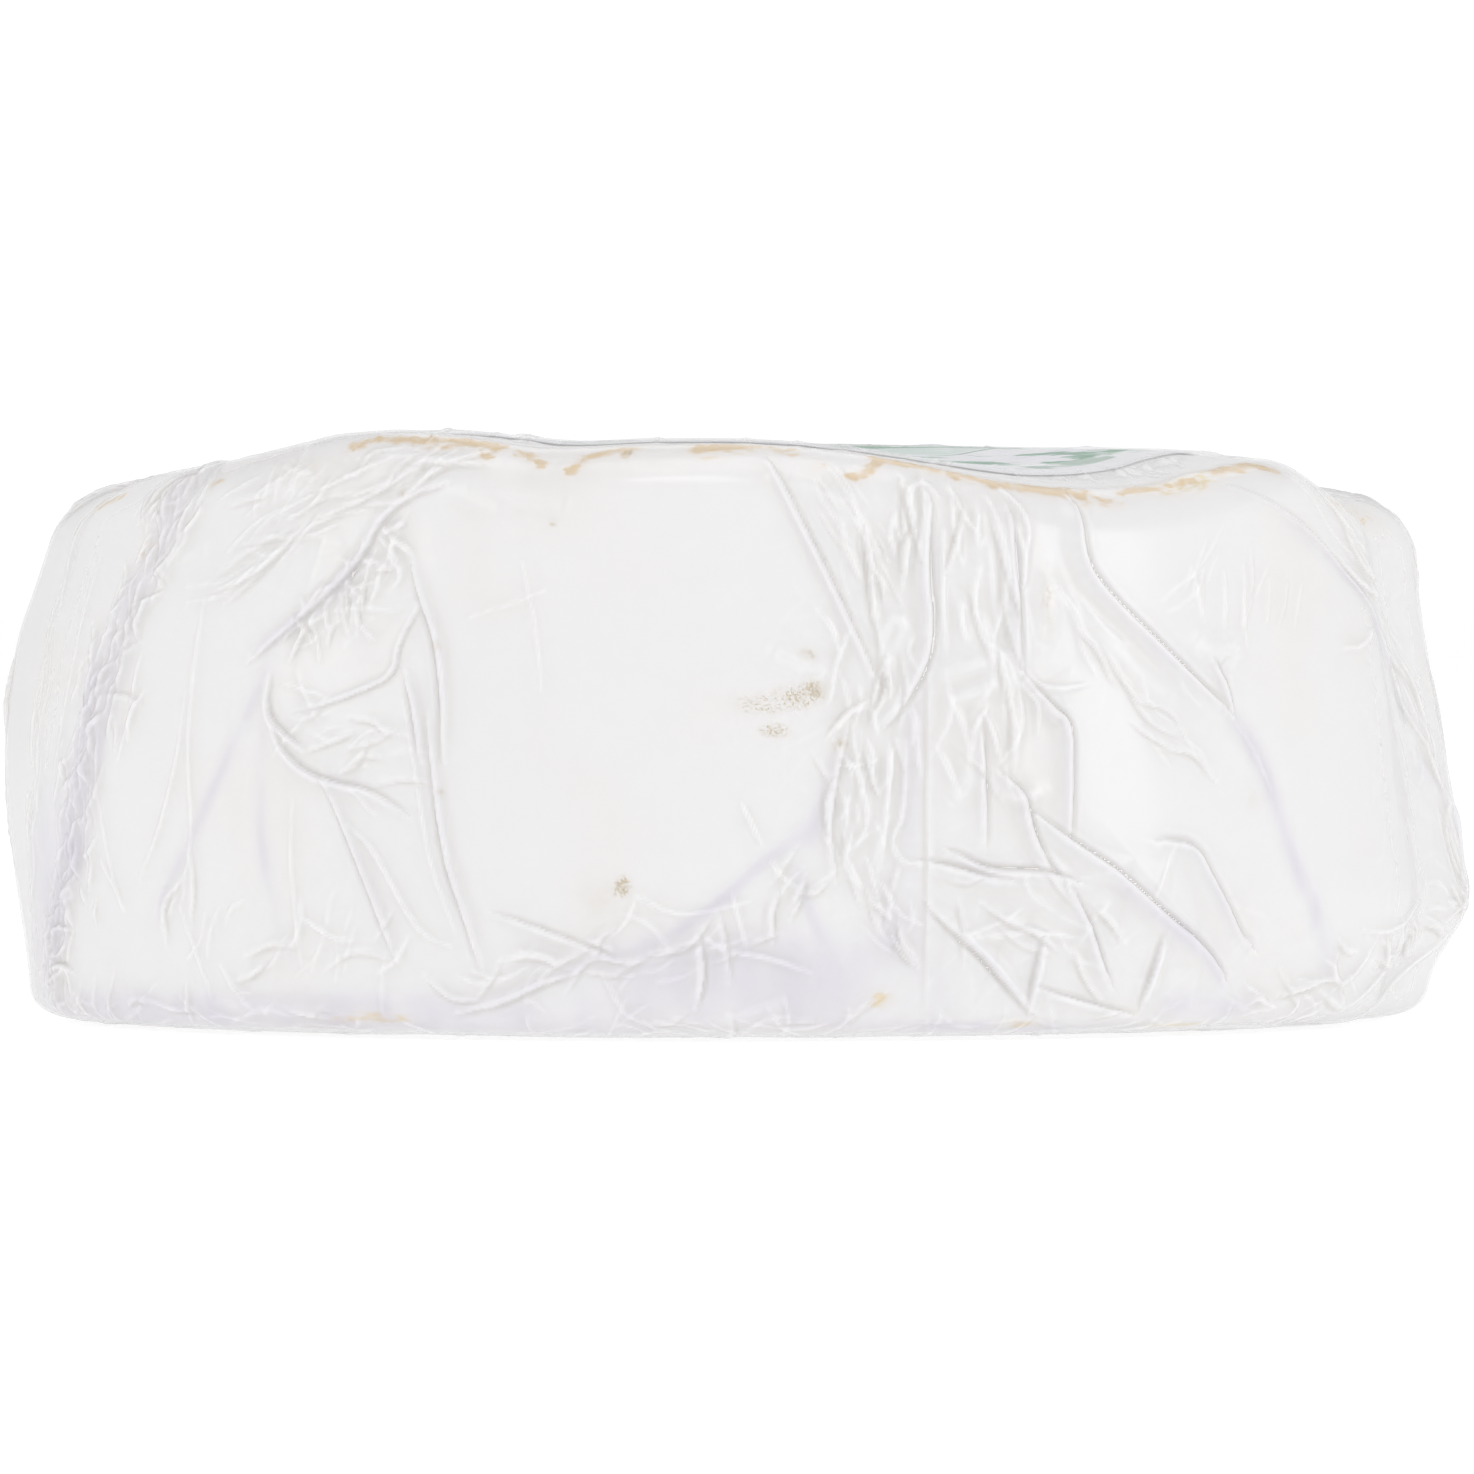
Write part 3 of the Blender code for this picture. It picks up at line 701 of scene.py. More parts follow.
# %% Puckers and crinkles
# name, seed, count, pixels along the line, spread in mm, turn from the line and its spread in
# degrees, lengths, heights and half widths in mm
FRONT_FAMILIES = (
    ("twisted strip", 11, 230, ((196, 470), (158, 555), (126, 620), (98, 700), (78, 780),
                                (64, 880), (52, 1004)), 6.5, 4, 24, (3, 9), (0.2, 0.7),
     (0.4, 0.8)),
    ("far left", 12, 22, ((80, 520), (48, 640), (30, 760), (30, 900)), 2.5, 0, 9, (8, 20),
     (0.10, 0.28), (0.5, 0.9)),
    ("upper left rim", 13, 30, ((150, 500), (240, 492), (320, 478), (400, 462), (470, 462)), 2.4,
     40, 26, (3, 9), (0.12, 0.35), (0.35, 0.7)),
    ("upper left sweep", 14, 26, ((225, 575), (300, 516), (372, 486), (450, 462)), 4.0, 0, 12,
     (6, 18), (0.15, 0.4), (0.4, 0.8)),
    ("patch crumple", 15, 60, ((296, 640), (338, 600), (384, 556), (410, 520)), 3.4, 20, 44,
     (2.5, 6), (0.2, 0.5), (0.35, 0.7)),
    ("in the patch", 16, 16, ((300, 700), (350, 740), (410, 780)), 6.0, 30, 40, (4, 10),
     (0.15, 0.35), (0.4, 0.8)),
    ("hatching", 17, 34, ((836, 488), (868, 540), (884, 600)), 3.4, 4, 7, (4, 9),
     (0.10, 0.22), (0.3, 0.5)),
    ("upright left", 18, 28, ((900, 500), (896, 640), (880, 780), (870, 870)), 5.0, 2, 12,
     (4, 12), (0.25, 0.7), (0.5, 1.2)),
    ("upright right", 19, 26, ((985, 510), (990, 640), (1010, 780)), 7.5, 0, 12, (5, 14),
     (0.25, 0.7), (0.5, 1.3)),
    ("lilac strip", 20, 40, ((848, 700), (838, 800), (860, 880), (900, 960)), 3.4, 0, 26,
     (3, 8), (0.2, 0.5), (0.35, 0.7)),
    ("under the diagonal", 21, 16, ((1080, 600), (1130, 700), (1200, 760)), 4.5, 4, 10, (5, 12),
     (0.12, 0.3), (0.5, 0.9)),
    ("lower right", 22, 16, ((950, 890), (1040, 920), (1140, 970)), 7.0, 12, 34, (4, 10),
     (0.2, 0.5), (0.5, 1.0)),
    ("right edge", 23, 44, ((1330, 510), (1396, 640), (1432, 780), (1446, 900)), 3.2, 0, 7,
     (8, 22), (0.15, 0.4), (0.4, 0.9)),
    ("lower right corner", 24, 34, ((1240, 1004), (1330, 990), (1400, 950), (1446, 900)), 3.6,
     -30, 20, (4, 10), (0.25, 0.6), (0.4, 0.9)),
    ("foot", 25, 90, ((60, 1004), (400, 1018), (740, 1030), (1080, 1024), (1320, 1018)), 2.6,
     18, 34, (3, 10), (0.15, 0.4), (0.4, 0.8)),
    ("lower middle", 26, 34, ((430, 994), (620, 962), (760, 930), (824, 870)), 3.6, 8, 30,
     (3, 9), (0.2, 0.45), (0.4, 0.8)),
    ("lower left", 27, 24, ((170, 920), (300, 950), (420, 940)), 5.0, 60, 24, (4, 10),
     (0.15, 0.4), (0.4, 0.8)),
    ("upper right", 28, 12, ((1180, 570), (1240, 600), (1300, 600)), 4.0, 80, 12, (5, 12),
     (0.05, 0.14), (0.4, 0.8)),
)
# The same for the sides that weren't seen, along lines of bearing in degrees and length in mm
HIDDEN_FAMILIES = (
    ("rim behind", 31, 150, ((88, 82), (180, 82), (272, 82)), 7.0, 84, 16, (6, 20), (0.2, 0.7),
     (0.5, 1.0)),
    ("back wall", 32, 110, ((92, 40), (180, 44), (268, 40)), 20.0, 80, 26, (8, 24), (0.2, 0.8),
     (0.5, 1.1)),
    ("back twist", 33, 90, ((128, 78), (140, 50), (158, 24), (170, 4)), 5.0, 0, 22, (4, 12),
     (0.25, 0.6), (0.4, 0.9)),
    ("back crumple", 34, 80, ((210, 60), (222, 44), (236, 34)), 8.0, 30, 50, (3, 9), (0.2, 0.6),
     (0.4, 0.8)),
    ("foot behind", 35, 130, ((92, 0), (180, 0), (268, 0)), 4.0, 70, 26, (4, 12), (0.2, 0.5),
     (0.4, 0.9)),
    ("over the front rim", 36, 60, ((-88, 90), (0, 90), (88, 90)), 4.0, 86, 14, (5, 12),
     (0.12, 0.3), (0.5, 0.9)),
    ("tucked under the front", 37, 80, ((-88, -8), (0, -8), (88, -8)), 3.5, 80, 20, (4, 10),
     (0.2, 0.5), (0.5, 0.9)),
)
PLEAT_SHARE = 0.35
BEND_SHARE = 0.12
SPREAD_SHARE = 0.5


def draw_family(path, seed, count, spread, turn, turn_spread, lengths, heights, widths):
    """Scatters one family of wrinkles; each is a short, slightly bent ridge or pleat."""
    draw = np.random.default_rng(seed)
    runs = np.diff(path, axis=0)
    ends = np.concatenate([[0], np.cumsum(np.hypot(*runs.T))])
    for _ in range(count):
        spot = draw.uniform(0, ends[-1])
        leg = min(np.searchsorted(ends, spot, side="right") - 1, len(runs) - 1)
        run = runs[leg] / np.hypot(*runs[leg])
        middle = path[leg] + run * (spot - ends[leg])
        aside = draw.normal(0, SPREAD_SHARE) * spread * MM
        middle = middle + np.array([run[1], -run[0]]) * aside
        angle = math.atan2(run[1], run[0]) + math.radians(turn + draw.normal(0, turn_spread))
        length = draw.uniform(*lengths) * MM
        along = np.array([math.cos(angle), math.sin(angle)]) * length / 2
        bend = np.array([along[1], -along[0]]) * draw.normal(0, BEND_SHARE) * 2
        kind = "pleat" if draw.random() < PLEAT_SHARE else "ridge"
        height, width = draw.uniform(*heights) * MM, draw.uniform(*widths) * MM
        draw_crease(kind, height, width, softened([middle - along, middle + bend, middle + along]))


for name, seed, count, points, *rest in FRONT_FAMILIES:
    draw_family(pixel_path(points), seed, count, *rest)
for name, seed, count, points, *rest in HIDDEN_FAMILIES:
    line = softened([(bearing * DEGREE, along * MM) for bearing, along in points])
    draw_family(line, seed, count, *rest)
print(sum(row[2] for row in FRONT_FAMILIES + HIDDEN_FAMILIES), "small wrinkles")

# %% [markdown]
# ## Crumples
# Where film has been squeezed and let go it breaks into flat facets with straight edges
# between them, like a ball of paper opened again. A net of triangles over scattered points,
# each point at its own height, has just that look. Two nets are made, a coarse one and a
# fine upright one, and each is let through only in the zones where the film is crumpled.

# %% Nets of facets
# how far a point may stray from its place in the net, in steps of the net
STRAY = 0.42
# points of the net past both ends of the sheet, so that its facets join up behind
OVERHANG = 2
SAME_POINT = 1e-7
EDGE_SLACK = 1e-6


def facet_sheet(size_round, size_up, seed):
    """Heights from -1 to 1 on a net of triangles whose points are scattered at this spacing."""
    draw = np.random.default_rng(seed)
    columns = round(2 * HALF_ROUND / size_round)
    rows = math.ceil((SHEET_HIGH - SHEET_LOW) / size_up) + 3
    step = 2 * HALF_ROUND / columns
    spots, heights = [], []
    for row in range(rows):
        lift = draw.uniform(-1, 1, columns)
        shift = draw.uniform(-STRAY, STRAY, (columns, 2))
        for column in range(-OVERHANG, columns + OVERHANG + 1):
            x = (column + shift[column % columns][0] + 0.5 * (row % 2)) * step - HALF_ROUND
            y = SHEET_LOW + (row - 1 + shift[column % columns][1]) * size_up
            spots.append(Vector((x, y)))
            heights.append(lift[column % columns])
    corners, _, faces, sources, _, _ = geometry.delaunay_2d_cdt(spots, [], [], 0, SAME_POINT)
    heights = np.array([heights[origin[0]] for origin in sources])
    corners = np.array(corners)
    sheet = new_sheet()
    for face in faces:
        (x0, y0), (x1, y1), (x2, y2) = corners[list(face)]
        low_column = max(0, math.floor((min(x0, x1, x2) + HALF_ROUND) / SHEET_CELL))
        high_column = min(SHEET_COLUMNS, math.ceil((max(x0, x1, x2) + HALF_ROUND) / SHEET_CELL) + 1)
        low_row = max(0, math.floor((min(y0, y1, y2) - SHEET_LOW) / SHEET_CELL))
        high_row = min(SHEET_ROWS, math.ceil((max(y0, y1, y2) - SHEET_LOW) / SHEET_CELL) + 1)
        if low_column >= high_column or low_row >= high_row:
            continue
        x = sheet_round[None, low_column:high_column]
        y = sheet_along[low_row:high_row, None]
        area = (x1 - x0) * (y2 - y0) - (x2 - x0) * (y1 - y0)
        second = ((x - x0) * (y2 - y0) - (x2 - x0) * (y - y0)) / area
        third = ((x1 - x0) * (y - y0) - (x - x0) * (y1 - y0)) / area
        inside = ((second >= -EDGE_SLACK) & (third >= -EDGE_SLACK)
                  & (second + third <= 1 + EDGE_SLACK))
        h0, h1, h2 = heights[list(face)]
        window = sheet[low_row:high_row, low_column:high_column]
        window[inside] = (h0 + (h1 - h0) * second + (h2 - h0) * third)[inside]
    return sheet


# spacing of the points round and up, and the seed
COARSE_NET = (0.0052, 0.0075, 41)
FINE_NET = (0.0024, 0.0060, 42)
coarse_facets = facet_sheet(*COARSE_NET)
fine_facets = facet_sheet(*FINE_NET)
print("facets run from", coarse_facets.min(), "to", coarse_facets.max())

# %% Where the film is crumpled
# middle bearing and height, half spans round and up in degrees and metres, coarse and fine
# heights in mm
CRUMPLED_ZONES = (
    (-31.5, 0.061, 6.0, 0.011, 0.42, 0.06),
    (-31.5, 0.044, 7.0, 0.012, 0.22, 0.00),
    (-38.0, 0.070, 14.0, 0.012, 0.12, 0.05),
    (12.0, 0.046, 9.0, 0.030, 0.30, 0.12),
    (22.0, 0.058, 10.0, 0.018, 0.28, 0.08),
    (28.0, 0.016, 18.0, 0.013, 0.34, 0.00),
    (-72.0, 0.050, 10.0, 0.045, 0.06, 0.00),
    (76.0, 0.035, 14.0, 0.045, 0.14, 0.06),
    (150.0, 0.040, 46.0, 0.040, 0.26, 0.06),
    (-140.0, 0.040, 40.0, 0.040, 0.24, 0.06),
)
EVERYWHERE_MM = (0.004, 0.0)
RIM_MM = (0.08, 0.04)
RIM_REACH = 0.006
# soft rolls of the whole film: height in mm, sizes round and up, seed
ROLLS = ((0.16, 0.020, 0.016, 51), (0.03, 0.007, 0.010, 52))
DEEPEST_MM, HIGHEST_MM = -0.45, 1.9
EDGE_MARGIN = 0.002
FADE = 0.012


def crumples():
    """The nets of facets, let through in the crumpled zones and faintly elsewhere."""
    coarse = np.full_like(relief, EVERYWHERE_MM[0])
    fine = np.full_like(relief, EVERYWHERE_MM[1])
    degrees = sheet_round / DEGREE
    for bearing, up, span_round, span_up, coarse_mm, fine_mm in CRUMPLED_ZONES:
        turn = (degrees - bearing + 180) % 360 - 180
        zone = np.exp(-((turn / span_round)[None, :] ** 2
                        + ((sheet_along - up) / span_up)[:, None] ** 2) ** 2)
        coarse = np.maximum(coarse, coarse_mm * zone)
        fine = np.maximum(fine, fine_mm * zone)
    for edge in (ROUND_LOW, ROUND_HIGH):
        near = np.exp(-((sheet_along - edge) / RIM_REACH) ** 2)[:, None]
        coarse = np.maximum(coarse, RIM_MM[0] * near)
        fine = np.maximum(fine, RIM_MM[1] * near)
    return (coarse * coarse_facets + fine * fine_facets) * MM


relief += crumples()
relief += sum(roll_mm * MM * wander(*roll) for roll_mm, *roll in ROLLS)
relief = np.clip(relief, DEEPEST_MM * MM, HIGHEST_MM * MM)
fade = (np.clip((SHEET_HIGH - EDGE_MARGIN - sheet_along) / FADE, 0, 1)
        * np.clip((sheet_along - SHEET_LOW - EDGE_MARGIN) / FADE, 0, 1))
fade = fade ** 2 * (3 - 2 * fade)
relief *= fade[:, None].astype(np.float32)
print("the film stands off from", round(float(relief.min()) / MM, 2), "to",
      round(float(relief.max()) / MM, 2), "mm")

# %% [markdown]
# ## What the relief says about the look
# Tight film is clear. Where it is steep and crumpled it traps air and turns slightly hazy,
# and where it dips beside a ridge it gets a faint warm painted shade. Both follow from the
# relief: haze from its slope, and painted shade from how far it lies under its own
# neighbourhood, joined by the painted dark lines of the tucks. A crest is made whiter: partly
# the haze of film that stands clear of the rind, partly a painted highlight.

# %% Haze, painted shade and painted crest highlights
HAZE_SLOPE = 0.5
# painted shade in dips: the depth that gives it in full, and the share of it that is kept
SHADE_DEPTH = 0.00016
SHADE_SHARE = 0.6
# painted highlight: how far a crest stands over its neighbourhood to be whitened in full
CREST_HIGHLIGHT_HEIGHT = 0.00018
NEIGHBOURHOOD = 0.0005
# doubled film shows in patches: their mean, their swing, their sizes and seed
PATCHY_MEAN, PATCHY_SWING = 0.62, 0.38
PATCHES = (0.0022, 0.0055, 53)


def haze_shade_and_highlight():
    """Three sheets from 0 to 1, worked out from the relief: haze, painted shade and painted crest
    highlight.
    """
    slope_up, slope_round = np.gradient(relief, SHEET_CELL)
    haze = np.clip(blurred(np.hypot(slope_up, slope_round), NEIGHBOURHOOD) / HAZE_SLOPE, 0, 1)
    below = blurred(relief, NEIGHBOURHOOD) - relief
    shade = np.clip(below / SHADE_DEPTH, 0, 1)
    crest_highlight = np.clip(-below / CREST_HIGHLIGHT_HEIGHT, 0, 1)
    # painted shade from the dips and the tucks' painted shadow lines, and the painted crest
    # highlight
    return haze, np.maximum(shade * SHADE_SHARE, tuck_shadows), crest_highlight


haze, shade, crest_highlight = haze_shade_and_highlight()
patchy = PATCHY_MEAN + PATCHY_SWING * wander(*PATCHES)
layers = np.clip(blurred(layers, SHEET_CELL) * patchy, 0, 1)
print("mean haze", round(float(haze.mean()), 2), "mean shade", round(float(shade.mean()), 2))

# %% [markdown]
# ## Stains
# A bloomy rind browns where it is rubbed or damp: tan patches along the rim, a straw tone
# where it is wet, small brown spots on the wall. Each patch is placed on a sheet of its
# own, and the material breaks its edge up with fine noise, so that it never looks like a
# dab of a brush. The sides that weren't seen get a few of their own, by a seeded draw.

# %% Painting the stains
# pixel across and down, half size across and down in pixels, strength
TAN_PATCHES = (
    (622, 447, 5, 4, 1.0), (712, 455, 11, 4, 0.8), (320, 464, 40, 14, 0.22),
    (150, 545, 14, 24, 0.25), (818, 466, 12, 10, 0.35), (1385, 512, 16, 12, 0.3),
)
# strength, half width in pixels, pixels along it
TAN_STROKES = (
    (1.0, 5, ((82, 507), (95, 500), (113, 495))), (0.9, 4, ((163, 487), (172, 481), (182, 476))),
    (0.7, 3, ((203, 486), (216, 482))), (1.0, 5, ((344, 445), (356, 439), (378, 436), (411, 437))),
    (1.0, 6, ((416, 438), (450, 436), (483, 440))), (0.8, 4, ((482, 438), (485, 446), (478, 455))),
    (0.8, 4, ((507, 447), (520, 450), (537, 460))), (0.7, 3, ((598, 447), (615, 444), (632, 443))),
    (1.0, 5, ((567, 467), (577, 459), (584, 450), (602, 448))),
    (1.0, 5, ((697, 445), (722, 442), (746, 444))), (0.6, 4, ((746, 445), (770, 446), (794, 451))),
    (1.0, 4, ((850, 478), (864, 476), (878, 468), (894, 460))),
    (0.9, 4, ((884, 461), (912, 461), (940, 468), (966, 475))),
    (0.9, 4, ((963, 473), (990, 480), (1020, 484))),
    (1.0, 5, ((1040, 483), (1061, 482), (1080, 487), (1095, 496))),
    (0.8, 4, ((1103, 492), (1113, 500), (1128, 503))), (0.6, 3, ((1138, 495), (1156, 492))),
    (0.9, 3, ((1150, 488), (1176, 482), (1190, 472))), (0.8, 3, ((1190, 470), (1216, 468))),
    (1.0, 4, ((1242, 468), (1262, 464), (1282, 464), (1292, 470))),
    (0.5, 4, ((1340, 500), (1362, 504), (1384, 512), (1396, 524))),
)
BROWN_SPOTS = (
    (814, 691, 10, 8, 0.95), (796, 698, 22, 10, 0.52), (762, 704, 30, 10, 0.40),
    (775, 731, 14, 6, 0.58), (841, 745, 5, 5, 1.0), (622, 887, 7, 8, 1.0), (435, 645, 3, 4, 1.0),
    (441, 793, 3, 3, 1.0), (402, 492, 3, 3, 1.0), (808, 655, 9, 5, 0.5),
    (1048, 600, 8, 44, 0.30), (624, 448, 4, 3, 1.0), (552, 520, 3, 3, 0.7),
    (598, 900, 26, 26, 0.22), (1256, 800, 14, 18, 0.2),
)
STRAW_PATCHES = (
    (1204, 471, 34, 5, 0.7), (883, 1000, 9, 6, 1.0),
    (372, 1020, 28, 6, 0.9), (1024, 1028, 20, 6, 0.7), (1182, 1032, 22, 5, 0.9),
    (340, 1022, 14, 5, 0.5), (1130, 1010, 30, 10, 0.2), (620, 560, 120, 90, 0.10),
)
RIM_HIDES = 0.0022
HIGHEST_SEEN = ROUND_HIGH - RIM_HIDES
LEAST_FACING = 0.3
# how fast a rubbed stain and a patch fade from their middle
RUB_FALL, PATCH_FALL = 1.3, 0.8
# stains behind: how many, how strong at most, and how far along the outline
HIDDEN_STAIN_SEED = 61
HIDDEN_TAN = (30, 0.9, (0.076, 0.088))
HIDDEN_BROWN = (9, 0.8, (0.01, 0.07))
HIDDEN_STRAW = (9, 0.8, (-0.004, 0.006))
# and the spans of their bearings, half sizes and shares of that strength
HIDDEN_BEARINGS = (95, 265)
HIDDEN_HALF_ROUND, HIDDEN_HALF_UP = (0.001, 0.006), (0.0008, 0.0022)
HIDDEN_SHARES = (0.4, 1.0)


def rubbed(sheet, strokes):
    """Adds stains that were rubbed along a line, as the rim's are."""
    for amount, half_width, points in strokes:
        path = pixel_path(points)
        path[:, 1] = np.minimum(path[:, 1], HIGHEST_SEEN)
        lean = np.maximum(path[:, 1] - WALL_HIGH, 0).mean() / TOP_ROUND
        width = half_width * PIXEL / max(math.cos(lean), LEAST_FACING)
        cells, x, y = stroke_window(path, 2 * width)
        gap = measured_from(path, x, y)[0] / width
        sheet[cells] = np.maximum(sheet[cells], amount * np.exp(-gap ** 2 * RUB_FALL))


def stained(patches, seed, hidden_count, hidden_strength, hidden_alongs):
    """A sheet of stains, from patches that were seen and patches made up behind."""
    sheet = new_sheet()
    spots = []
    for across, down, half_across, half_down, amount in patches:
        spot_round, along = on_wall(across, down)
        along = min(along, HIGHEST_SEEN)
        facing = max(math.cos(spot_round / DRUM_RADIUS), LEAST_FACING)
        upright = max(math.cos(max(along - WALL_HIGH, 0) / TOP_ROUND), LEAST_FACING)
        spots.append((spot_round, along, half_across * PIXEL / facing,
                      half_down * PIXEL / upright, amount))
    draw = np.random.default_rng(seed)
    for _ in range(hidden_count):
        spots.append((draw.uniform(*HIDDEN_BEARINGS) * DEGREE, draw.uniform(*hidden_alongs),
                      draw.uniform(*HIDDEN_HALF_ROUND), draw.uniform(*HIDDEN_HALF_UP),
                      hidden_strength * draw.uniform(*HIDDEN_SHARES)))
    for spot_round, along, half_round, half_along, amount in spots:
        corners = np.array([[spot_round - half_round, along - half_along],
                            [spot_round + half_round, along + half_along]])
        cells, x, y = stroke_window(corners, 2 * max(half_round, half_along))
        gap = ((x - spot_round) / half_round) ** 2 + ((y - along) / half_along) ** 2
        sheet[cells] = np.maximum(sheet[cells], amount * np.exp(-gap * PATCH_FALL))
    return sheet


tan_stain = stained(TAN_PATCHES, HIDDEN_STAIN_SEED, *HIDDEN_TAN)
brown_spot = stained(BROWN_SPOTS, HIDDEN_STAIN_SEED + 1, *HIDDEN_BROWN)
straw_stain = stained(STRAW_PATCHES, HIDDEN_STAIN_SEED + 2, *HIDDEN_STRAW)
rubbed(tan_stain, TAN_STROKES)
print(len(TAN_PATCHES + TAN_STROKES + BROWN_SPOTS + STRAW_PATCHES), "stains placed by eye")

# %% [markdown]
# ## From the sheets to meshes
# Rind and film are skins one over the other. Each is made of panels, as one very fine mesh
# would be too heavy. A panel starts as a flat grid, and its points are moved round the drum
# and lifted by the relief. Panels meet point on point. Their normals are worked out from
# places beyond their own edges too, so the light runs on from one panel to the next and no
# seam shows. The rind is pressed by its wrap and takes its folds, only a little softer.

# %% The label's place
LABEL_X, LABEL_Y = 0.002, -0.013
LABEL_RADIUS = 0.069
LABEL_GAP = 0.00018
LABEL_THICKNESS = 0.00028
LABEL_TENT = 0.0035


def over_label(places):
    """0 to 1, by how far each place lies over the label, with a slope past its edge."""
    gap = np.hypot(places[:, 0] - LABEL_X, places[:, 1] - LABEL_Y) - LABEL_RADIUS
    share = np.clip(1 - gap / LABEL_TENT, 0, 1)
    return share ** 2 * (3 - 2 * share)


# %% Skins round the wall
UNDER_MARGIN = 0.003
PANEL_LOW, PANEL_HIGH = SHEET_LOW + UNDER_MARGIN, SHEET_HIGH - EDGE_MARGIN
SEEN_LOW, SEEN_HIGH = -0.003, 0.088
SHARE_UNDER, SHARE_OVER = 0.08, 0.09
ROW_PAD = 0.1
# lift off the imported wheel, further lift at the label, and clearance over the floor
FILM_LIFT, FILM_OVER_LABEL, FILM_FOOT = 0.00005, 0.00060, 0.0006
RIND_LIFT, RIND_UNDER_LABEL, RIND_FOOT = -0.00030, 0.00025, 0.0012
# how far the rind takes up the film's folds, how much softer it is, and how much softer its painted
# shade is
RIND_SHARE = 0.92
RIND_SOFTENING = 0.0004
RIND_SHADE_SOFTENING = 0.0003
# share of a fold's height that hangs down under the wheel
UNDER_SHARE = 0.5


class Skin:
    """What sets one skin apart: its relief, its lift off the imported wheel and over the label."""

    def __init__(self, relief_sheet, lift, label_lift, foot, sheets):
        self.relief = relief_sheet
        self.lift = lift
        self.label_lift = label_lift
        self.foot = foot
        self.sheets = sheets


# share of white haze in the film; the part on crests is a painted highlight
MILK_LEAST, MILK_HAZE, MILK_DOUBLED, MILK_CREST_HIGHLIGHT = 0.30, 0.10, 0.15, 0.28
MILK_OVER_LABEL = 0.2
film_skin = Skin(relief, FILM_LIFT, FILM_OVER_LABEL, FILM_FOOT,
                 {"haze_and_highlight": (MILK_LEAST + MILK_HAZE * haze + MILK_DOUBLED * layers
                           + MILK_CREST_HIGHLIGHT * crest_highlight), "shade": shade, "doubled": layers})
# the rind carries the painted crease shade too, a little softer
rind_skin = Skin(RIND_SHARE * blurred(relief, RIND_SOFTENING), RIND_LIFT, RIND_UNDER_LABEL,
                 RIND_FOOT,
                 {"shade": blurred(shade, RIND_SHADE_SOFTENING), "tan_stain": tan_stain,
                  "brown_spot": brown_spot, "straw_stain": straw_stain})


def skin_places(skin, bearing, along):
    """Where a skin lies at places on the wheel, given as flat arrays."""
    out, up, tilt = outline(along)
    places = uneven(bearing, out, up)
    angle = np.radians(bearing)
    folds = read_sheet(skin.relief, bearing, along)
    lift = folds + skin.lift
    side = np.cos(tilt)
    places[:, 0] += lift * side * np.sin(angle)
    places[:, 1] -= lift * side * np.cos(angle)
    on_top = np.where(up > DRUM_HEIGHT / 2, np.sin(tilt), 0.0)
    places[:, 2] += on_top * (lift + skin.label_lift * over_label(places))
    under = np.clip(-np.sin(tilt), 0, 1) ** 2
    places[:, 2] += under * (skin.foot - UNDER_SHARE * folds)
    places[:, 2] = np.maximum(places[:, 2], 0.0)
    return places


def grid_normals(places, rows, columns):
    """Normals of a padded grid of places, for the grid without its padding."""
    net = places.reshape(rows + 3, columns + 3, 3)
    run_columns = net[1:-1, 2:] - net[1:-1, :-2]
    run_rows = net[2:, 1:-1] - net[:-2, 1:-1]
    normals = np.cross(run_columns, run_rows).reshape(-1, 3)
    return normals / np.maximum(np.linalg.norm(normals, axis=1), HAIR)[:, None]


def add_grid(name, columns, rows):
    """A flat grid from -1 to 1, with nothing else selected."""
    deselect_all()
    bpy.ops.mesh.primitive_grid_add(x_subdivisions=columns, y_subdivisions=rows, size=2)
    grid = bpy.context.object
    grid.name = grid.data.name = name
    return grid


def set_places(piece, places, normals=None):
    """Moves a mesh's points, and gives it smooth light from these normals."""
    mesh = piece.data
    mesh.vertices.foreach_set("co", np.ascontiguousarray(places, np.float32).ravel())
    mesh.update()
    mesh.shade_smooth()
    if normals is not None:
        mesh.normals_split_custom_set_from_vertices(normals)


def set_attribute(piece, name, values):
    """Stores one number for each point, for a material to read."""
    attribute = piece.data.attributes.new(name, "FLOAT", "POINT")
    attribute.data.foreach_set("value", np.ascontiguousarray(values, np.float32))


def row_places(rows):
    """Lengths along the outline for a panel's rows, closer together where the wall is seen."""
    shares = (-ROW_PAD, 0.0, SHARE_UNDER, 1 - SHARE_OVER, 1.0, 1 + ROW_PAD)
    below = PANEL_LOW - ROW_PAD * (SEEN_LOW - PANEL_LOW) / SHARE_UNDER
    above = PANEL_HIGH + ROW_PAD * (PANEL_HIGH - SEEN_HIGH) / SHARE_OVER
    ends = (below, PANEL_LOW, SEEN_LOW, SEEN_HIGH, PANEL_HIGH, above)
    return np.interp(np.arange(-1, rows + 2) / rows, shares, ends)


def wall_panel(name, skin, first, last, columns, rows):
    """One panel of a skin: a grid laid round part of the wall and over both rims."""
    panel = add_grid(name, columns, rows)
    bearing = first + (last - first) * np.arange(-1, columns + 2) / columns
    along = row_places(rows)
    bearings, alongs = (flat.ravel() for flat in np.meshgrid(bearing, along))
    places = skin_places(skin, bearings, alongs)
    inner = places.reshape(rows + 3, columns + 3, 3)[1:-1, 1:-1].reshape(-1, 3)
    set_places(panel, inner, grid_normals(places, rows, columns))
    bearings, alongs = (flat.ravel() for flat in np.meshgrid(bearing[1:-1], along[1:-1]))
    for key, sheet in skin.sheets.items():
        set_attribute(panel, key, read_sheet(sheet, bearings, alongs))
    return panel


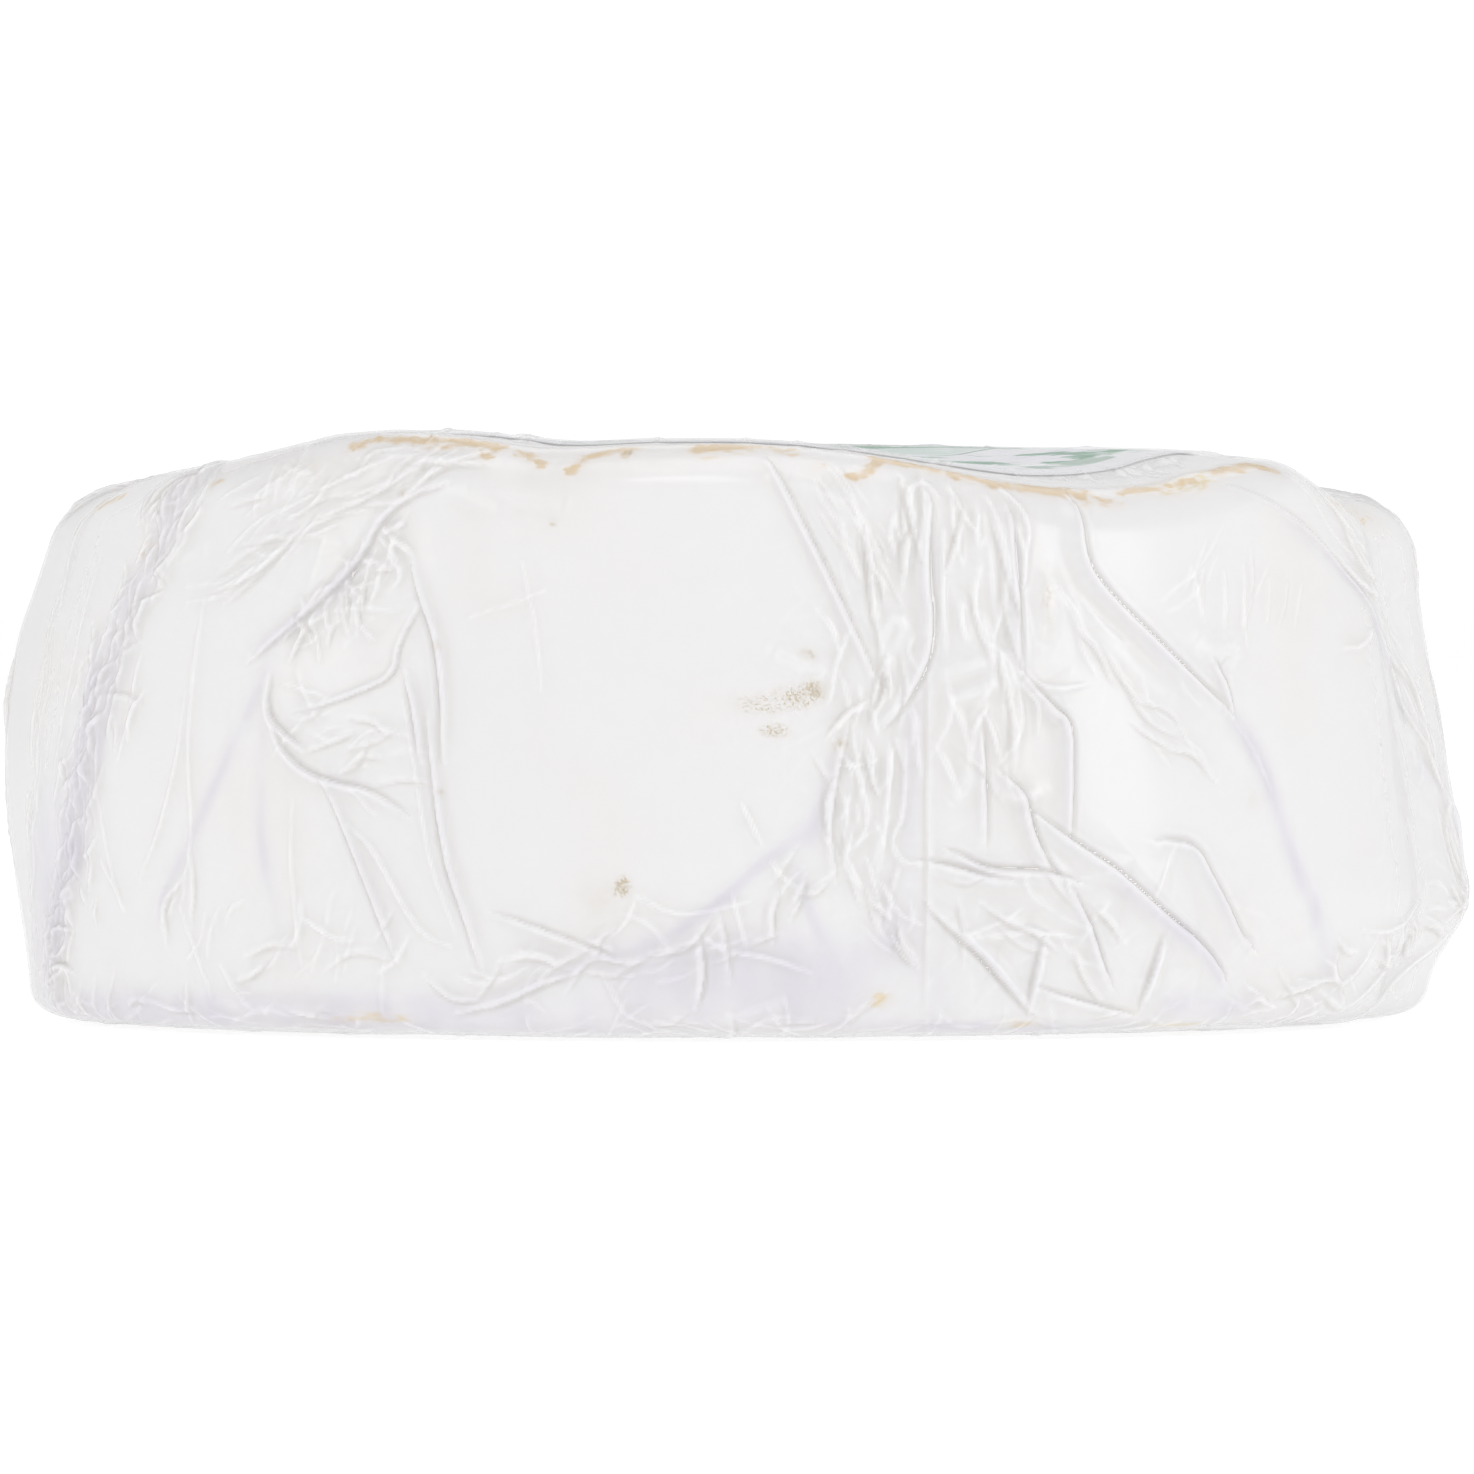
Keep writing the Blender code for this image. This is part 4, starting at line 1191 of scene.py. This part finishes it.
# name, bearings from and to, columns, rows
FILM_PANELS = (
    ("film_left", -98.0, -49.0, 244, 340),
    ("film_front_left", -49.0, 0.0, 260, 340),
    ("film_front_right", 0.0, 49.0, 260, 340),
    ("film_right", 49.0, 98.0, 244, 340),
    ("film_back", 98.0, 262.0, 400, 170),
)
RIND_PANELS = (
    ("rind_front", -98.0, 98.0, 500, 170),
    ("rind_back", 98.0, 262.0, 260, 112),
)
film = [wall_panel(name, film_skin, *rest) for name, *rest in FILM_PANELS]
rind = [wall_panel(name, rind_skin, *rest) for name, *rest in RIND_PANELS]
for panel in film + rind:
    print(panel.name, 2 * len(panel.data.polygons), "triangles")

# %% [markdown]
# ## Skins over the top and under the wheel
# On the top the film is drawn flat over the label and only a few long creases cross it.
# Underneath it is gathered: folds run in from all round and overlap in the middle, which
# is how a wheel is wrapped by hand. Both are discs, made from a square grid whose rings of
# squares are eased into circles, so that no point is crowded in the middle.

# %% Creases of the top and the underside
TOP_CREASES = (
    # from and to in mm, height and half width in mm
    ((-52, -58), (40, 62), 0.35, 0.8), ((-60, -20), (30, 72), 0.25, 0.7),
    ((-10, -70), (66, 30), 0.30, 0.8), ((-72, 8), (-20, 66), 0.35, 0.9),
    ((20, -74), (72, -8), 0.25, 0.8), ((-30, -66), (-70, 24), 0.30, 0.9),
    ((-40, 52), (58, 44), 0.22, 0.7), ((4, -60), (16, 70), 0.16, 0.6),
)
TOP_WAVER, TOP_WAVES = 0.0012, 9
TOP_FALL = 1.3
# folds gathered underneath: spans of where they end and begin, in metres from the middle
GATHER_COUNT = 46
GATHER_SEED = 72
GATHER_INNER, GATHER_OUTER = (0.0, 0.03), (0.045, 0.085)
GATHER_TAPER = 0.01
# their half widths and heights in mm, the fall of their two sides in half widths
GATHER_WIDE, GATHER_TALL = (0.7, 1.5), (0.2, 0.5)
GATHER_GENTLE, GATHER_STEEP = 2.2, 0.5
# how strongly they are twisted, in radians a metre, about this distance from the middle
GATHER_TWIST, GATHER_PIVOT = 6.0, 0.04
# near a disc's middle the rings of squares stay square, at this share of their size
SQUARE_SHARE = 0.92


def disc_net(columns, radius, pad):
    """Places of a square grid eased into a disc, padded with extra rows outside."""
    steps = np.arange(-pad, columns + 1 + pad) / columns * 2 - 1
    x, y = (flat.ravel() for flat in np.meshgrid(steps, steps))
    square = np.maximum(np.abs(x), np.abs(y))
    length = np.maximum(np.hypot(x, y), LEAST_SPAN)
    share = np.clip(square, 0, 1) ** 2
    ease = (1 - share) * SQUARE_SHARE + share * square / length
    return x * ease * radius, y * ease * radius


def top_folds(x, y):
    """Long tension creases over the top."""
    height = np.zeros_like(x)
    for (x0, y0), (x1, y1), tall, wide in TOP_CREASES:
        run = np.array([x1 - x0, y1 - y0]) * MM
        length = np.hypot(*run)
        run = run / length
        along = np.clip(((x - x0 * MM) * run[0] + (y - y0 * MM) * run[1]) / length, 0, 1)
        gap = (x - x0 * MM) * run[1] - (y - y0 * MM) * run[0]
        gap = gap + TOP_WAVER * np.sin(along * TOP_WAVES + x0)
        hill = np.exp(-TOP_FALL * np.abs(gap) / (wide * MM))
        height += tall * MM * np.sin(math.pi * along) * hill
    return height


def under_folds(x, y):
    """Folds that run in from all round towards the middle of the underside."""
    draw = np.random.default_rng(GATHER_SEED)
    turn, out = np.arctan2(y, x), np.hypot(x, y)
    height = np.zeros_like(x)
    for _ in range(GATHER_COUNT):
        start, twist = draw.uniform(-math.pi, math.pi), draw.normal(0.0, GATHER_TWIST)
        inner, outer = draw.uniform(*GATHER_INNER), draw.uniform(*GATHER_OUTER)
        wide, tall = draw.uniform(*GATHER_WIDE) * MM, draw.uniform(*GATHER_TALL) * MM
        away = turn - start - twist * (out - GATHER_PIVOT)
        gap = ((away + math.pi) % (2 * math.pi) - math.pi) * out
        reach = (np.clip((out - inner) / GATHER_TAPER, 0, 1)
                 * np.clip((outer - out) / GATHER_TAPER, 0, 1))
        hill = np.where(gap > 0, np.exp(-gap / (GATHER_GENTLE * wide)),
                        np.exp(-(gap / (GATHER_STEEP * wide)) ** 2))
        height = np.maximum(height, tall * reach * hill)
    return height


# %% The discs
FILM_DISC_COLUMNS, RIND_DISC_COLUMNS = 150, 80
DISC_FADE = 0.010
# a fold this high on a disc is as hazy and doubled as any there
STEEP_FOLD = 0.35 * MM
FOLD_DOUBLED = 0.6
RIM_SLACK = 1e-6


def skin_disc(name, skin, columns, on_top, fold_share):
    """The round piece of a skin over the top, or the one underneath."""
    edge_along = PANEL_HIGH if on_top else PANEL_LOW
    edge = float(outline(np.array([edge_along]))[0][0])
    disc = add_grid(name, columns, columns)
    x, y = disc_net(columns, edge, pad=1)
    if not on_top:
        x = -x
    out = np.hypot(x, y)
    places = uneven(np.degrees(np.arctan2(x, -y)), out, np.full_like(out, on_top * DRUM_HEIGHT))
    fade = np.clip((edge - out) / DISC_FADE, 0, 1)
    folds = fold_share * (top_folds if on_top else under_folds)(x, y) * fade ** 2 * (3 - 2 * fade)
    if on_top:
        places[:, 2] += skin.lift + folds + skin.label_lift * over_label(places)
    else:
        places[:, 2] += np.maximum(skin.foot - folds, 0.0)
    normals = grid_normals(places, columns, columns)
    keep = np.pad(np.ones((columns + 1, columns + 1), bool), 1).ravel()
    normals[out[keep] > edge - RIM_SLACK] = [0, 0, 1 if on_top else -1]
    set_places(disc, places[keep], normals)
    steep = np.clip(folds[keep] / STEEP_FOLD, 0, 1)
    values = {"doubled": FOLD_DOUBLED * steep, "haze_and_highlight": MILK_LEAST + MILK_HAZE * steep}
    if on_top:
        values["haze_and_highlight"] = values["haze_and_highlight"] * (1 - (1 - MILK_OVER_LABEL) * over_label(places[keep]))
    for key in skin.sheets:
        set_attribute(disc, key, values.get(key, np.zeros_like(steep)))
    return disc


film.append(skin_disc("film_top", film_skin, FILM_DISC_COLUMNS, True, 1.0))
film.append(skin_disc("film_under", film_skin, FILM_DISC_COLUMNS, False, 1.0))
rind.append(skin_disc("rind_top", rind_skin, RIND_DISC_COLUMNS, True, 0.0))
rind.append(skin_disc("rind_under", rind_skin, RIND_DISC_COLUMNS, False, 0.0))
print("pieces of film and rind:", [piece.name for piece in film + rind])

# %% [markdown]
# ## The label
# A round of thin paper lies on the top. It is a circle, inset ring by ring so that it can
# follow the hollows of the rind, and given its thickness last. Damp paper cockles, so it
# is lifted by a very slight wave.

# %% Paper disc
LABEL_SIDES = 160
LABEL_RINGS = 34
COCKLE = 0.00006
COCKLE_SIZE = 0.012


def label_disc():
    """The label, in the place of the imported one."""
    deselect_all()
    bpy.ops.mesh.primitive_circle_add(vertices=LABEL_SIDES, radius=LABEL_RADIUS, fill_type="NGON",
                                      location=(LABEL_X, LABEL_Y, 0))
    disc = bpy.context.object
    disc.name = disc.data.name = "top_label"
    bpy.ops.object.transform_apply(location=True, rotation=False, scale=False)
    bpy.ops.object.mode_set(mode="EDIT")
    bpy.ops.mesh.select_all(action="SELECT")
    for _ in range(LABEL_RINGS):
        bpy.ops.mesh.inset(thickness=LABEL_RADIUS / (LABEL_RINGS + 1), depth=0)
    bpy.ops.mesh.poke()
    bpy.ops.object.mode_set(mode="OBJECT")
    count = len(disc.data.vertices)
    flat = np.zeros(count * 3)
    disc.data.vertices.foreach_get("co", flat)
    x, y = flat.reshape(-1, 3)[:, 0], flat.reshape(-1, 3)[:, 1]
    places = uneven(np.degrees(np.arctan2(x, -y)), np.hypot(x, y), np.full(count, DRUM_HEIGHT))
    wave = [0.5 + 0.5 * noise.noise(Vector((a, b, 0)) / COCKLE_SIZE) for a, b in zip(x, y)]
    places[:, 2] += LABEL_GAP + COCKLE * np.array(wave)
    set_places(disc, places)
    paper = disc.modifiers.new("paper", "SOLIDIFY")
    paper.thickness = LABEL_THICKNESS - COCKLE
    paper.offset = 1
    bpy.ops.object.modifier_apply(modifier="paper")
    return disc


label = label_disc()
print("label reaches from", [round(min(v.co[i] for v in label.data.vertices), 4) for i in range(3)],
      "to", [round(max(v.co[i] for v in label.data.vertices), 4) for i in range(3)])

# %% [markdown]
# ## Materials
# Three finishes make the wheel: a soft matt rind, printed paper and clear film. Each is
# built from nodes. The small helpers below keep the node code short: one adds a node, one
# adds noise at a size in metres, and one mixes two colours.

# %% Node helpers


class Finish:
    """A new material, with short calls for the nodes that it needs."""

    def __init__(self, name):
        self.material = bpy.data.materials.new(name)
        self.material.use_nodes = True
        self.nodes, self.links = self.material.node_tree.nodes, self.material.node_tree.links
        self.shader = self.nodes["Principled BSDF"]
        self.output = self.nodes["Material Output"]
        self.place = self.nodes.new("ShaderNodeTexCoord").outputs["Object"]

    def join(self, source, target):
        """Links an output, or sets a plain value."""
        if isinstance(source, bpy.types.NodeSocket):
            self.links.new(source, target)
        else:
            target.default_value = source

    def noise(self, size, detail=3.0, stretch=(1, 1, 1), rough=0.5):
        """Noise whose features are about a size in metres."""
        mapping = self.nodes.new("ShaderNodeMapping")
        mapping.inputs["Scale"].default_value = [1 / size / s for s in stretch]
        node = self.nodes.new("ShaderNodeTexNoise")
        node.inputs["Scale"].default_value = 1.0
        node.inputs["Detail"].default_value = detail
        node.inputs["Roughness"].default_value = rough
        self.links.new(self.place, mapping.inputs["Vector"])
        self.links.new(mapping.outputs["Vector"], node.inputs["Vector"])
        return node.outputs["Fac"]

    def number(self, kind, first, second):
        """A sum, product or other step on two numbers."""
        node = self.nodes.new("ShaderNodeMath")
        node.operation = kind
        self.join(first, node.inputs[0])
        self.join(second, node.inputs[1])
        return node.outputs["Value"]

    def span(self, value, low, high, to_low=0.0, to_high=1.0, smooth=True):
        """Carries a span of numbers to another span."""
        node = self.nodes.new("ShaderNodeMapRange")
        node.interpolation_type = "SMOOTHSTEP" if smooth else "LINEAR"
        for key, number in (("From Min", low), ("From Max", high), ("To Min", to_low),
                            ("To Max", to_high)):
            node.inputs[key].default_value = number
        self.join(value, node.inputs["Value"])
        return node.outputs["Result"]

    def blend(self, share, first, second):
        """A colour between two colours."""
        node = self.nodes.new("ShaderNodeMix")
        node.data_type = "RGBA"
        self.join(share, node.inputs["Factor"])
        self.join((*first, 1) if isinstance(first, tuple) else first, node.inputs[6])
        self.join((*second, 1) if isinstance(second, tuple) else second, node.inputs[7])
        return node.outputs[2]

    def painted(self, name):
        """A number stored on the mesh."""
        node = self.nodes.new("ShaderNodeAttribute")
        node.attribute_name = name
        return node.outputs["Fac"]

    def bump(self, height, strength, distance):
        """Bump from a height."""
        node = self.nodes.new("ShaderNodeBump")
        node.inputs["Strength"].default_value = strength
        node.inputs["Distance"].default_value = distance
        self.links.new(height, node.inputs["Height"])
        return node.outputs["Normal"]


print("helpers ready")

# %% [markdown]
# ### Bloomy rind
# The rind is white mould, so it is matt and slightly uneven, cooler where the bloom is
# thick and creamier where the paste shows through. The stains are mixed in by the painted
# numbers, with noise for their ragged edges, and a crease gets a faint warm painted shade.

# %% Rind finish
RIND_WHITE = (0.87, 0.86, 0.858)
RIND_CREAM = (0.845, 0.82, 0.79)
# painted shade: the warm grey mixed into the rind and the film in creases
CREASE_SHADE = (0.62, 0.585, 0.54)
TAN = (0.68, 0.42, 0.045)
BROWN = (0.42, 0.28, 0.03)
STRAW = (0.80, 0.60, 0.13)
STAIN_TINGE = 0.16
CREAM_SIZE = 0.022
CREAM_FROM, CREAM_TO, MOST_CREAM = 0.48, 0.72, 0.45
# how much of the painted crease shade is mixed into the rind at most
MOST_SHADE = 0.45
WHITE_ROUGHNESS, CREAM_ROUGHNESS = 0.75, 0.6
RIND_SPECULAR = 0.25
# noise that breaks up the larger stains, and finer specks for the brown ones
BREAK_SIZE, BREAK_STRETCH, BREAK_ROUGH = 0.0011, (1.6, 1.6, 0.8), 0.7
SPECK_SIZE, SPECK_ROUGH = 0.00034, 0.8
SPECK_FROM, SPECK_TO, SPECK_LEAST = 0.35, 0.62, 0.55
# how the noise is spread, how far it moves a stain's edge, and where it starts to work
RAGGED_FROM, RAGGED_TO, RAGGED_SWING = 0.36, 0.64, 0.45
RAGGED_STARTS, RAGGED_FULL = 0.02, 0.25
STAIN_STARTS, STAIN_FULL = 0.34, 0.76


def rind_finish():
    """White mould with cream patches and stains."""
    look = Finish("bloomy_rind")
    cream = look.span(look.noise(CREAM_SIZE, 2), CREAM_FROM, CREAM_TO)
    colour = look.blend(look.number("MULTIPLY", cream, MOST_CREAM), RIND_WHITE, RIND_CREAM)
    # painted shade in creases
    shaded = look.number("MULTIPLY", look.painted("shade"), MOST_SHADE)
    colour = look.blend(shaded, colour, CREASE_SHADE)
    patches = look.noise(BREAK_SIZE, 3, BREAK_STRETCH, BREAK_ROUGH)
    specks = look.noise(SPECK_SIZE, 2, rough=SPECK_ROUGH)
    fine = look.span(specks, SPECK_FROM, SPECK_TO, SPECK_LEAST, 1.0)
    for name, stain, broken_by in (("straw_stain", STRAW, patches), ("tan_stain", TAN, patches),
                                   ("brown_spot", BROWN, specks)):
        ragged = look.span(broken_by, RAGGED_FROM, RAGGED_TO, -RAGGED_SWING, RAGGED_SWING,
                           smooth=False)
        amount = look.painted(name)
        moved = look.number("MULTIPLY", ragged, look.span(amount, RAGGED_STARTS, RAGGED_FULL))
        broken = look.number("ADD", amount, moved)
        full = look.span(broken, STAIN_STARTS, STAIN_FULL, smooth=False)
        share = look.number("MULTIPLY", full, fine)
        share = look.number("MAXIMUM", share, look.number("MULTIPLY", amount, STAIN_TINGE))
        colour = look.blend(share, colour, stain)
    look.join(colour, look.shader.inputs["Base Color"])
    look.join(look.span(cream, 0.0, 1.0, WHITE_ROUGHNESS, CREAM_ROUGHNESS),
              look.shader.inputs["Roughness"])
    look.shader.inputs["Specular IOR Level"].default_value = RIND_SPECULAR
    return look.material


bloomy_rind = rind_finish()
for piece in rind:
    piece.data.materials.append(bloomy_rind)
print("rind finished")

# %% [markdown]
# ### Printed paper
# The print is made of plain fields: a thin green ring, a wide ring of brushed green strokes,
# a pale middle and one green bar. All of them are worked out from the distance to the
# label's middle and from stretched noise, so nothing is drawn from a picture.

# %% Label finish
PAPER_WHITE = (0.79, 0.79, 0.83)
PAPER_BRIGHT = (0.83, 0.83, 0.86)
PRINT_GREEN = (0.075, 0.30, 0.17)
PRINT_PALE = (0.42, 0.62, 0.52)
PRINT_EDGE = 0.0002
BAR_EDGE = 0.0005
# from the label's middle: the thin ring, the ring of brushed strokes, the pale middle
THIN_RING = (0.0350, 0.0358)
STROKE_FIELD = (0.038, 0.062)
WASH_FIELD = (0.0, 0.034)
STROKE_SIZE, STROKE_STRETCH, STROKE_ROUGH = 0.0075, (1.9, 1.0, 1), 0.62
STROKE_FROM, STROKE_TO = 0.52, 0.57
WASH_SIZE, WASH_STRETCH = 0.012, (2, 1, 1)
WASH_FROM, WASH_TO, WASH_STRENGTH = 0.45, 0.6, 0.6
FIBRE_SIZE, FIBRE_FROM, FIBRE_TO = 0.0016, 0.3, 0.7
PAPER_ROUGHNESS = (0.45, 0.6)
GRAIN_SIZE, GRAIN_STRENGTH, GRAIN_DEPTH = 0.0006, 0.25, 0.0001
# a plain bar across the label, from and to along Y, and where it starts along X
PRINTED_BAR = (-0.021, 0.012)
BAR_START = 0.006


def label_finish():
    """Paper with rings and brushed strokes in green."""
    look = Finish("label_print")
    centre = look.nodes.new("ShaderNodeVectorMath")
    centre.operation = "MULTIPLY_ADD"
    centre.inputs[1].default_value = (1, 1, 0)
    centre.inputs[2].default_value = (-LABEL_X, -LABEL_Y, 0)
    length = look.nodes.new("ShaderNodeVectorMath")
    length.operation = "LENGTH"
    look.links.new(look.place, centre.inputs[0])
    look.links.new(centre.outputs["Vector"], length.inputs[0])
    out = length.outputs["Value"]

    def ring(inner, outer):
        return look.number(
            "MULTIPLY", look.span(out, inner - PRINT_EDGE, inner + PRINT_EDGE),
            look.span(out, outer - PRINT_EDGE, outer + PRINT_EDGE, 1.0, 0.0))

    fibre = look.noise(FIBRE_SIZE, 4)
    paper = look.blend(look.span(fibre, FIBRE_FROM, FIBRE_TO), PAPER_WHITE, PAPER_BRIGHT)
    strokes = look.span(look.noise(STROKE_SIZE, 4, STROKE_STRETCH, STROKE_ROUGH),
                        STROKE_FROM, STROKE_TO)
    colour = look.blend(look.number("MULTIPLY", strokes, ring(*STROKE_FIELD)), paper, PRINT_GREEN)
    clouds = look.span(look.noise(WASH_SIZE, 3, WASH_STRETCH), WASH_FROM, WASH_TO)
    wash = look.number("MULTIPLY", clouds, ring(*WASH_FIELD))
    colour = look.blend(look.number("MULTIPLY", wash, WASH_STRENGTH), colour, PRINT_PALE)
    colour = look.blend(ring(*THIN_RING), colour, PRINT_GREEN)
    axes = look.nodes.new("ShaderNodeSeparateXYZ")
    look.links.new(look.place, axes.inputs["Vector"])
    near, far = PRINTED_BAR
    bar = look.number("MULTIPLY",
                      look.span(axes.outputs["Y"], near - BAR_EDGE, near + BAR_EDGE),
                      look.span(axes.outputs["Y"], far - BAR_EDGE, far + BAR_EDGE, 1.0, 0.0))
    begun = look.span(axes.outputs["X"], BAR_START - BAR_EDGE, BAR_START + BAR_EDGE)
    bar = look.number("MULTIPLY", bar, begun)
    colour = look.blend(bar, colour, PRINT_GREEN)
    look.join(colour, look.shader.inputs["Base Color"])
    look.join(look.span(fibre, FIBRE_FROM, FIBRE_TO, *PAPER_ROUGHNESS),
              look.shader.inputs["Roughness"])
    look.join(look.bump(look.noise(GRAIN_SIZE, 4), GRAIN_STRENGTH, GRAIN_DEPTH),
              look.shader.inputs["Normal"])
    return look.material


label.data.materials.append(label_finish())
print("label finished")

# %% [markdown]
# ### Clear film
# Film shows in three ways at once. Most light goes straight through, tinted lilac where
# the film is doubled and darkened to a warm painted shade in a crease. A little is caught as
# white haze where it is crumpled, and more on a crest as a painted highlight. The rest is
# mirrored at the surface, more at a glancing angle, as soft glints along each crest. So the
# finish is a see-through shader mixed with a little soft white, and a mirror laid over both
# by Fresnel.

# %% Film finish
CLEAR = (0.99, 0.99, 0.993)
LILAC_CLEAR = (0.87, 0.85, 0.925)
# painted shade: the warm tint of the see-through part in a crease
SHADE_CLEAR = (0.87, 0.845, 0.81)
HAZE_WHITE = (0.965, 0.96, 0.965)
HAZE_LILAC = (0.79, 0.765, 0.85)
FILM_GLOSS = 0.20
FILM_IOR = 1.50
MOST_MIRRORED = 0.25
# how much painted crease shade goes into the haze and into the see-through part
SHADE_IN_HAZE, SHADE_IN_CLEAR = 0.5, 0.6


def film_finish():
    """Clear film with a little haze, lilac doubled strips, painted crease shade, a painted crest
    highlight and soft gloss.
    """
    look = Finish("clear_film")
    haze_and_highlight_share, shade_here, doubled = (look.painted(name) for name in ("haze_and_highlight", "shade", "doubled"))
    white = look.blend(doubled, HAZE_WHITE, HAZE_LILAC)
    # painted shade in creases, in the haze and in what shows through
    white = look.blend(look.number("MULTIPLY", shade_here, SHADE_IN_HAZE), white, CREASE_SHADE)
    clear = look.blend(doubled, CLEAR, LILAC_CLEAR)
    clear = look.blend(look.number("MULTIPLY", shade_here, SHADE_IN_CLEAR), clear, SHADE_CLEAR)
    through = look.nodes.new("ShaderNodeBsdfTransparent")
    look.join(clear, through.inputs["Color"])
    haze_white = look.nodes.new("ShaderNodeBsdfDiffuse")
    look.join(white, haze_white.inputs["Color"])
    body = look.nodes.new("ShaderNodeMixShader")
    look.join(haze_and_highlight_share, body.inputs["Fac"])
    look.links.new(through.outputs["BSDF"], body.inputs[1])
    look.links.new(haze_white.outputs["BSDF"], body.inputs[2])
    mirror = look.nodes.new("ShaderNodeBsdfGlossy")
    mirror.inputs["Roughness"].default_value = FILM_GLOSS
    glance = look.nodes.new("ShaderNodeFresnel")
    glance.inputs["IOR"].default_value = FILM_IOR
    shown = look.nodes.new("ShaderNodeMixShader")
    look.join(look.number("MINIMUM", glance.outputs["Fac"], MOST_MIRRORED), shown.inputs["Fac"])
    look.links.new(body.outputs["Shader"], shown.inputs[1])
    look.links.new(mirror.outputs["BSDF"], shown.inputs[2])
    look.links.new(shown.outputs["Shader"], look.output.inputs["Surface"])
    return look.material


clear_film = film_finish()
for piece in film:
    piece.data.materials.append(clear_film)
print("film finished")

# %% [markdown]
# ## Handing the pieces over
# Each piece rides on the one body that the wheel has. The film and the rind together stand
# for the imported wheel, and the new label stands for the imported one.

# %% Riding and replacing
for piece in (*film, *rind):
    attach(piece, "root")
    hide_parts("wrapped_wheel")
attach(label, "root")
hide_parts("paper_label")
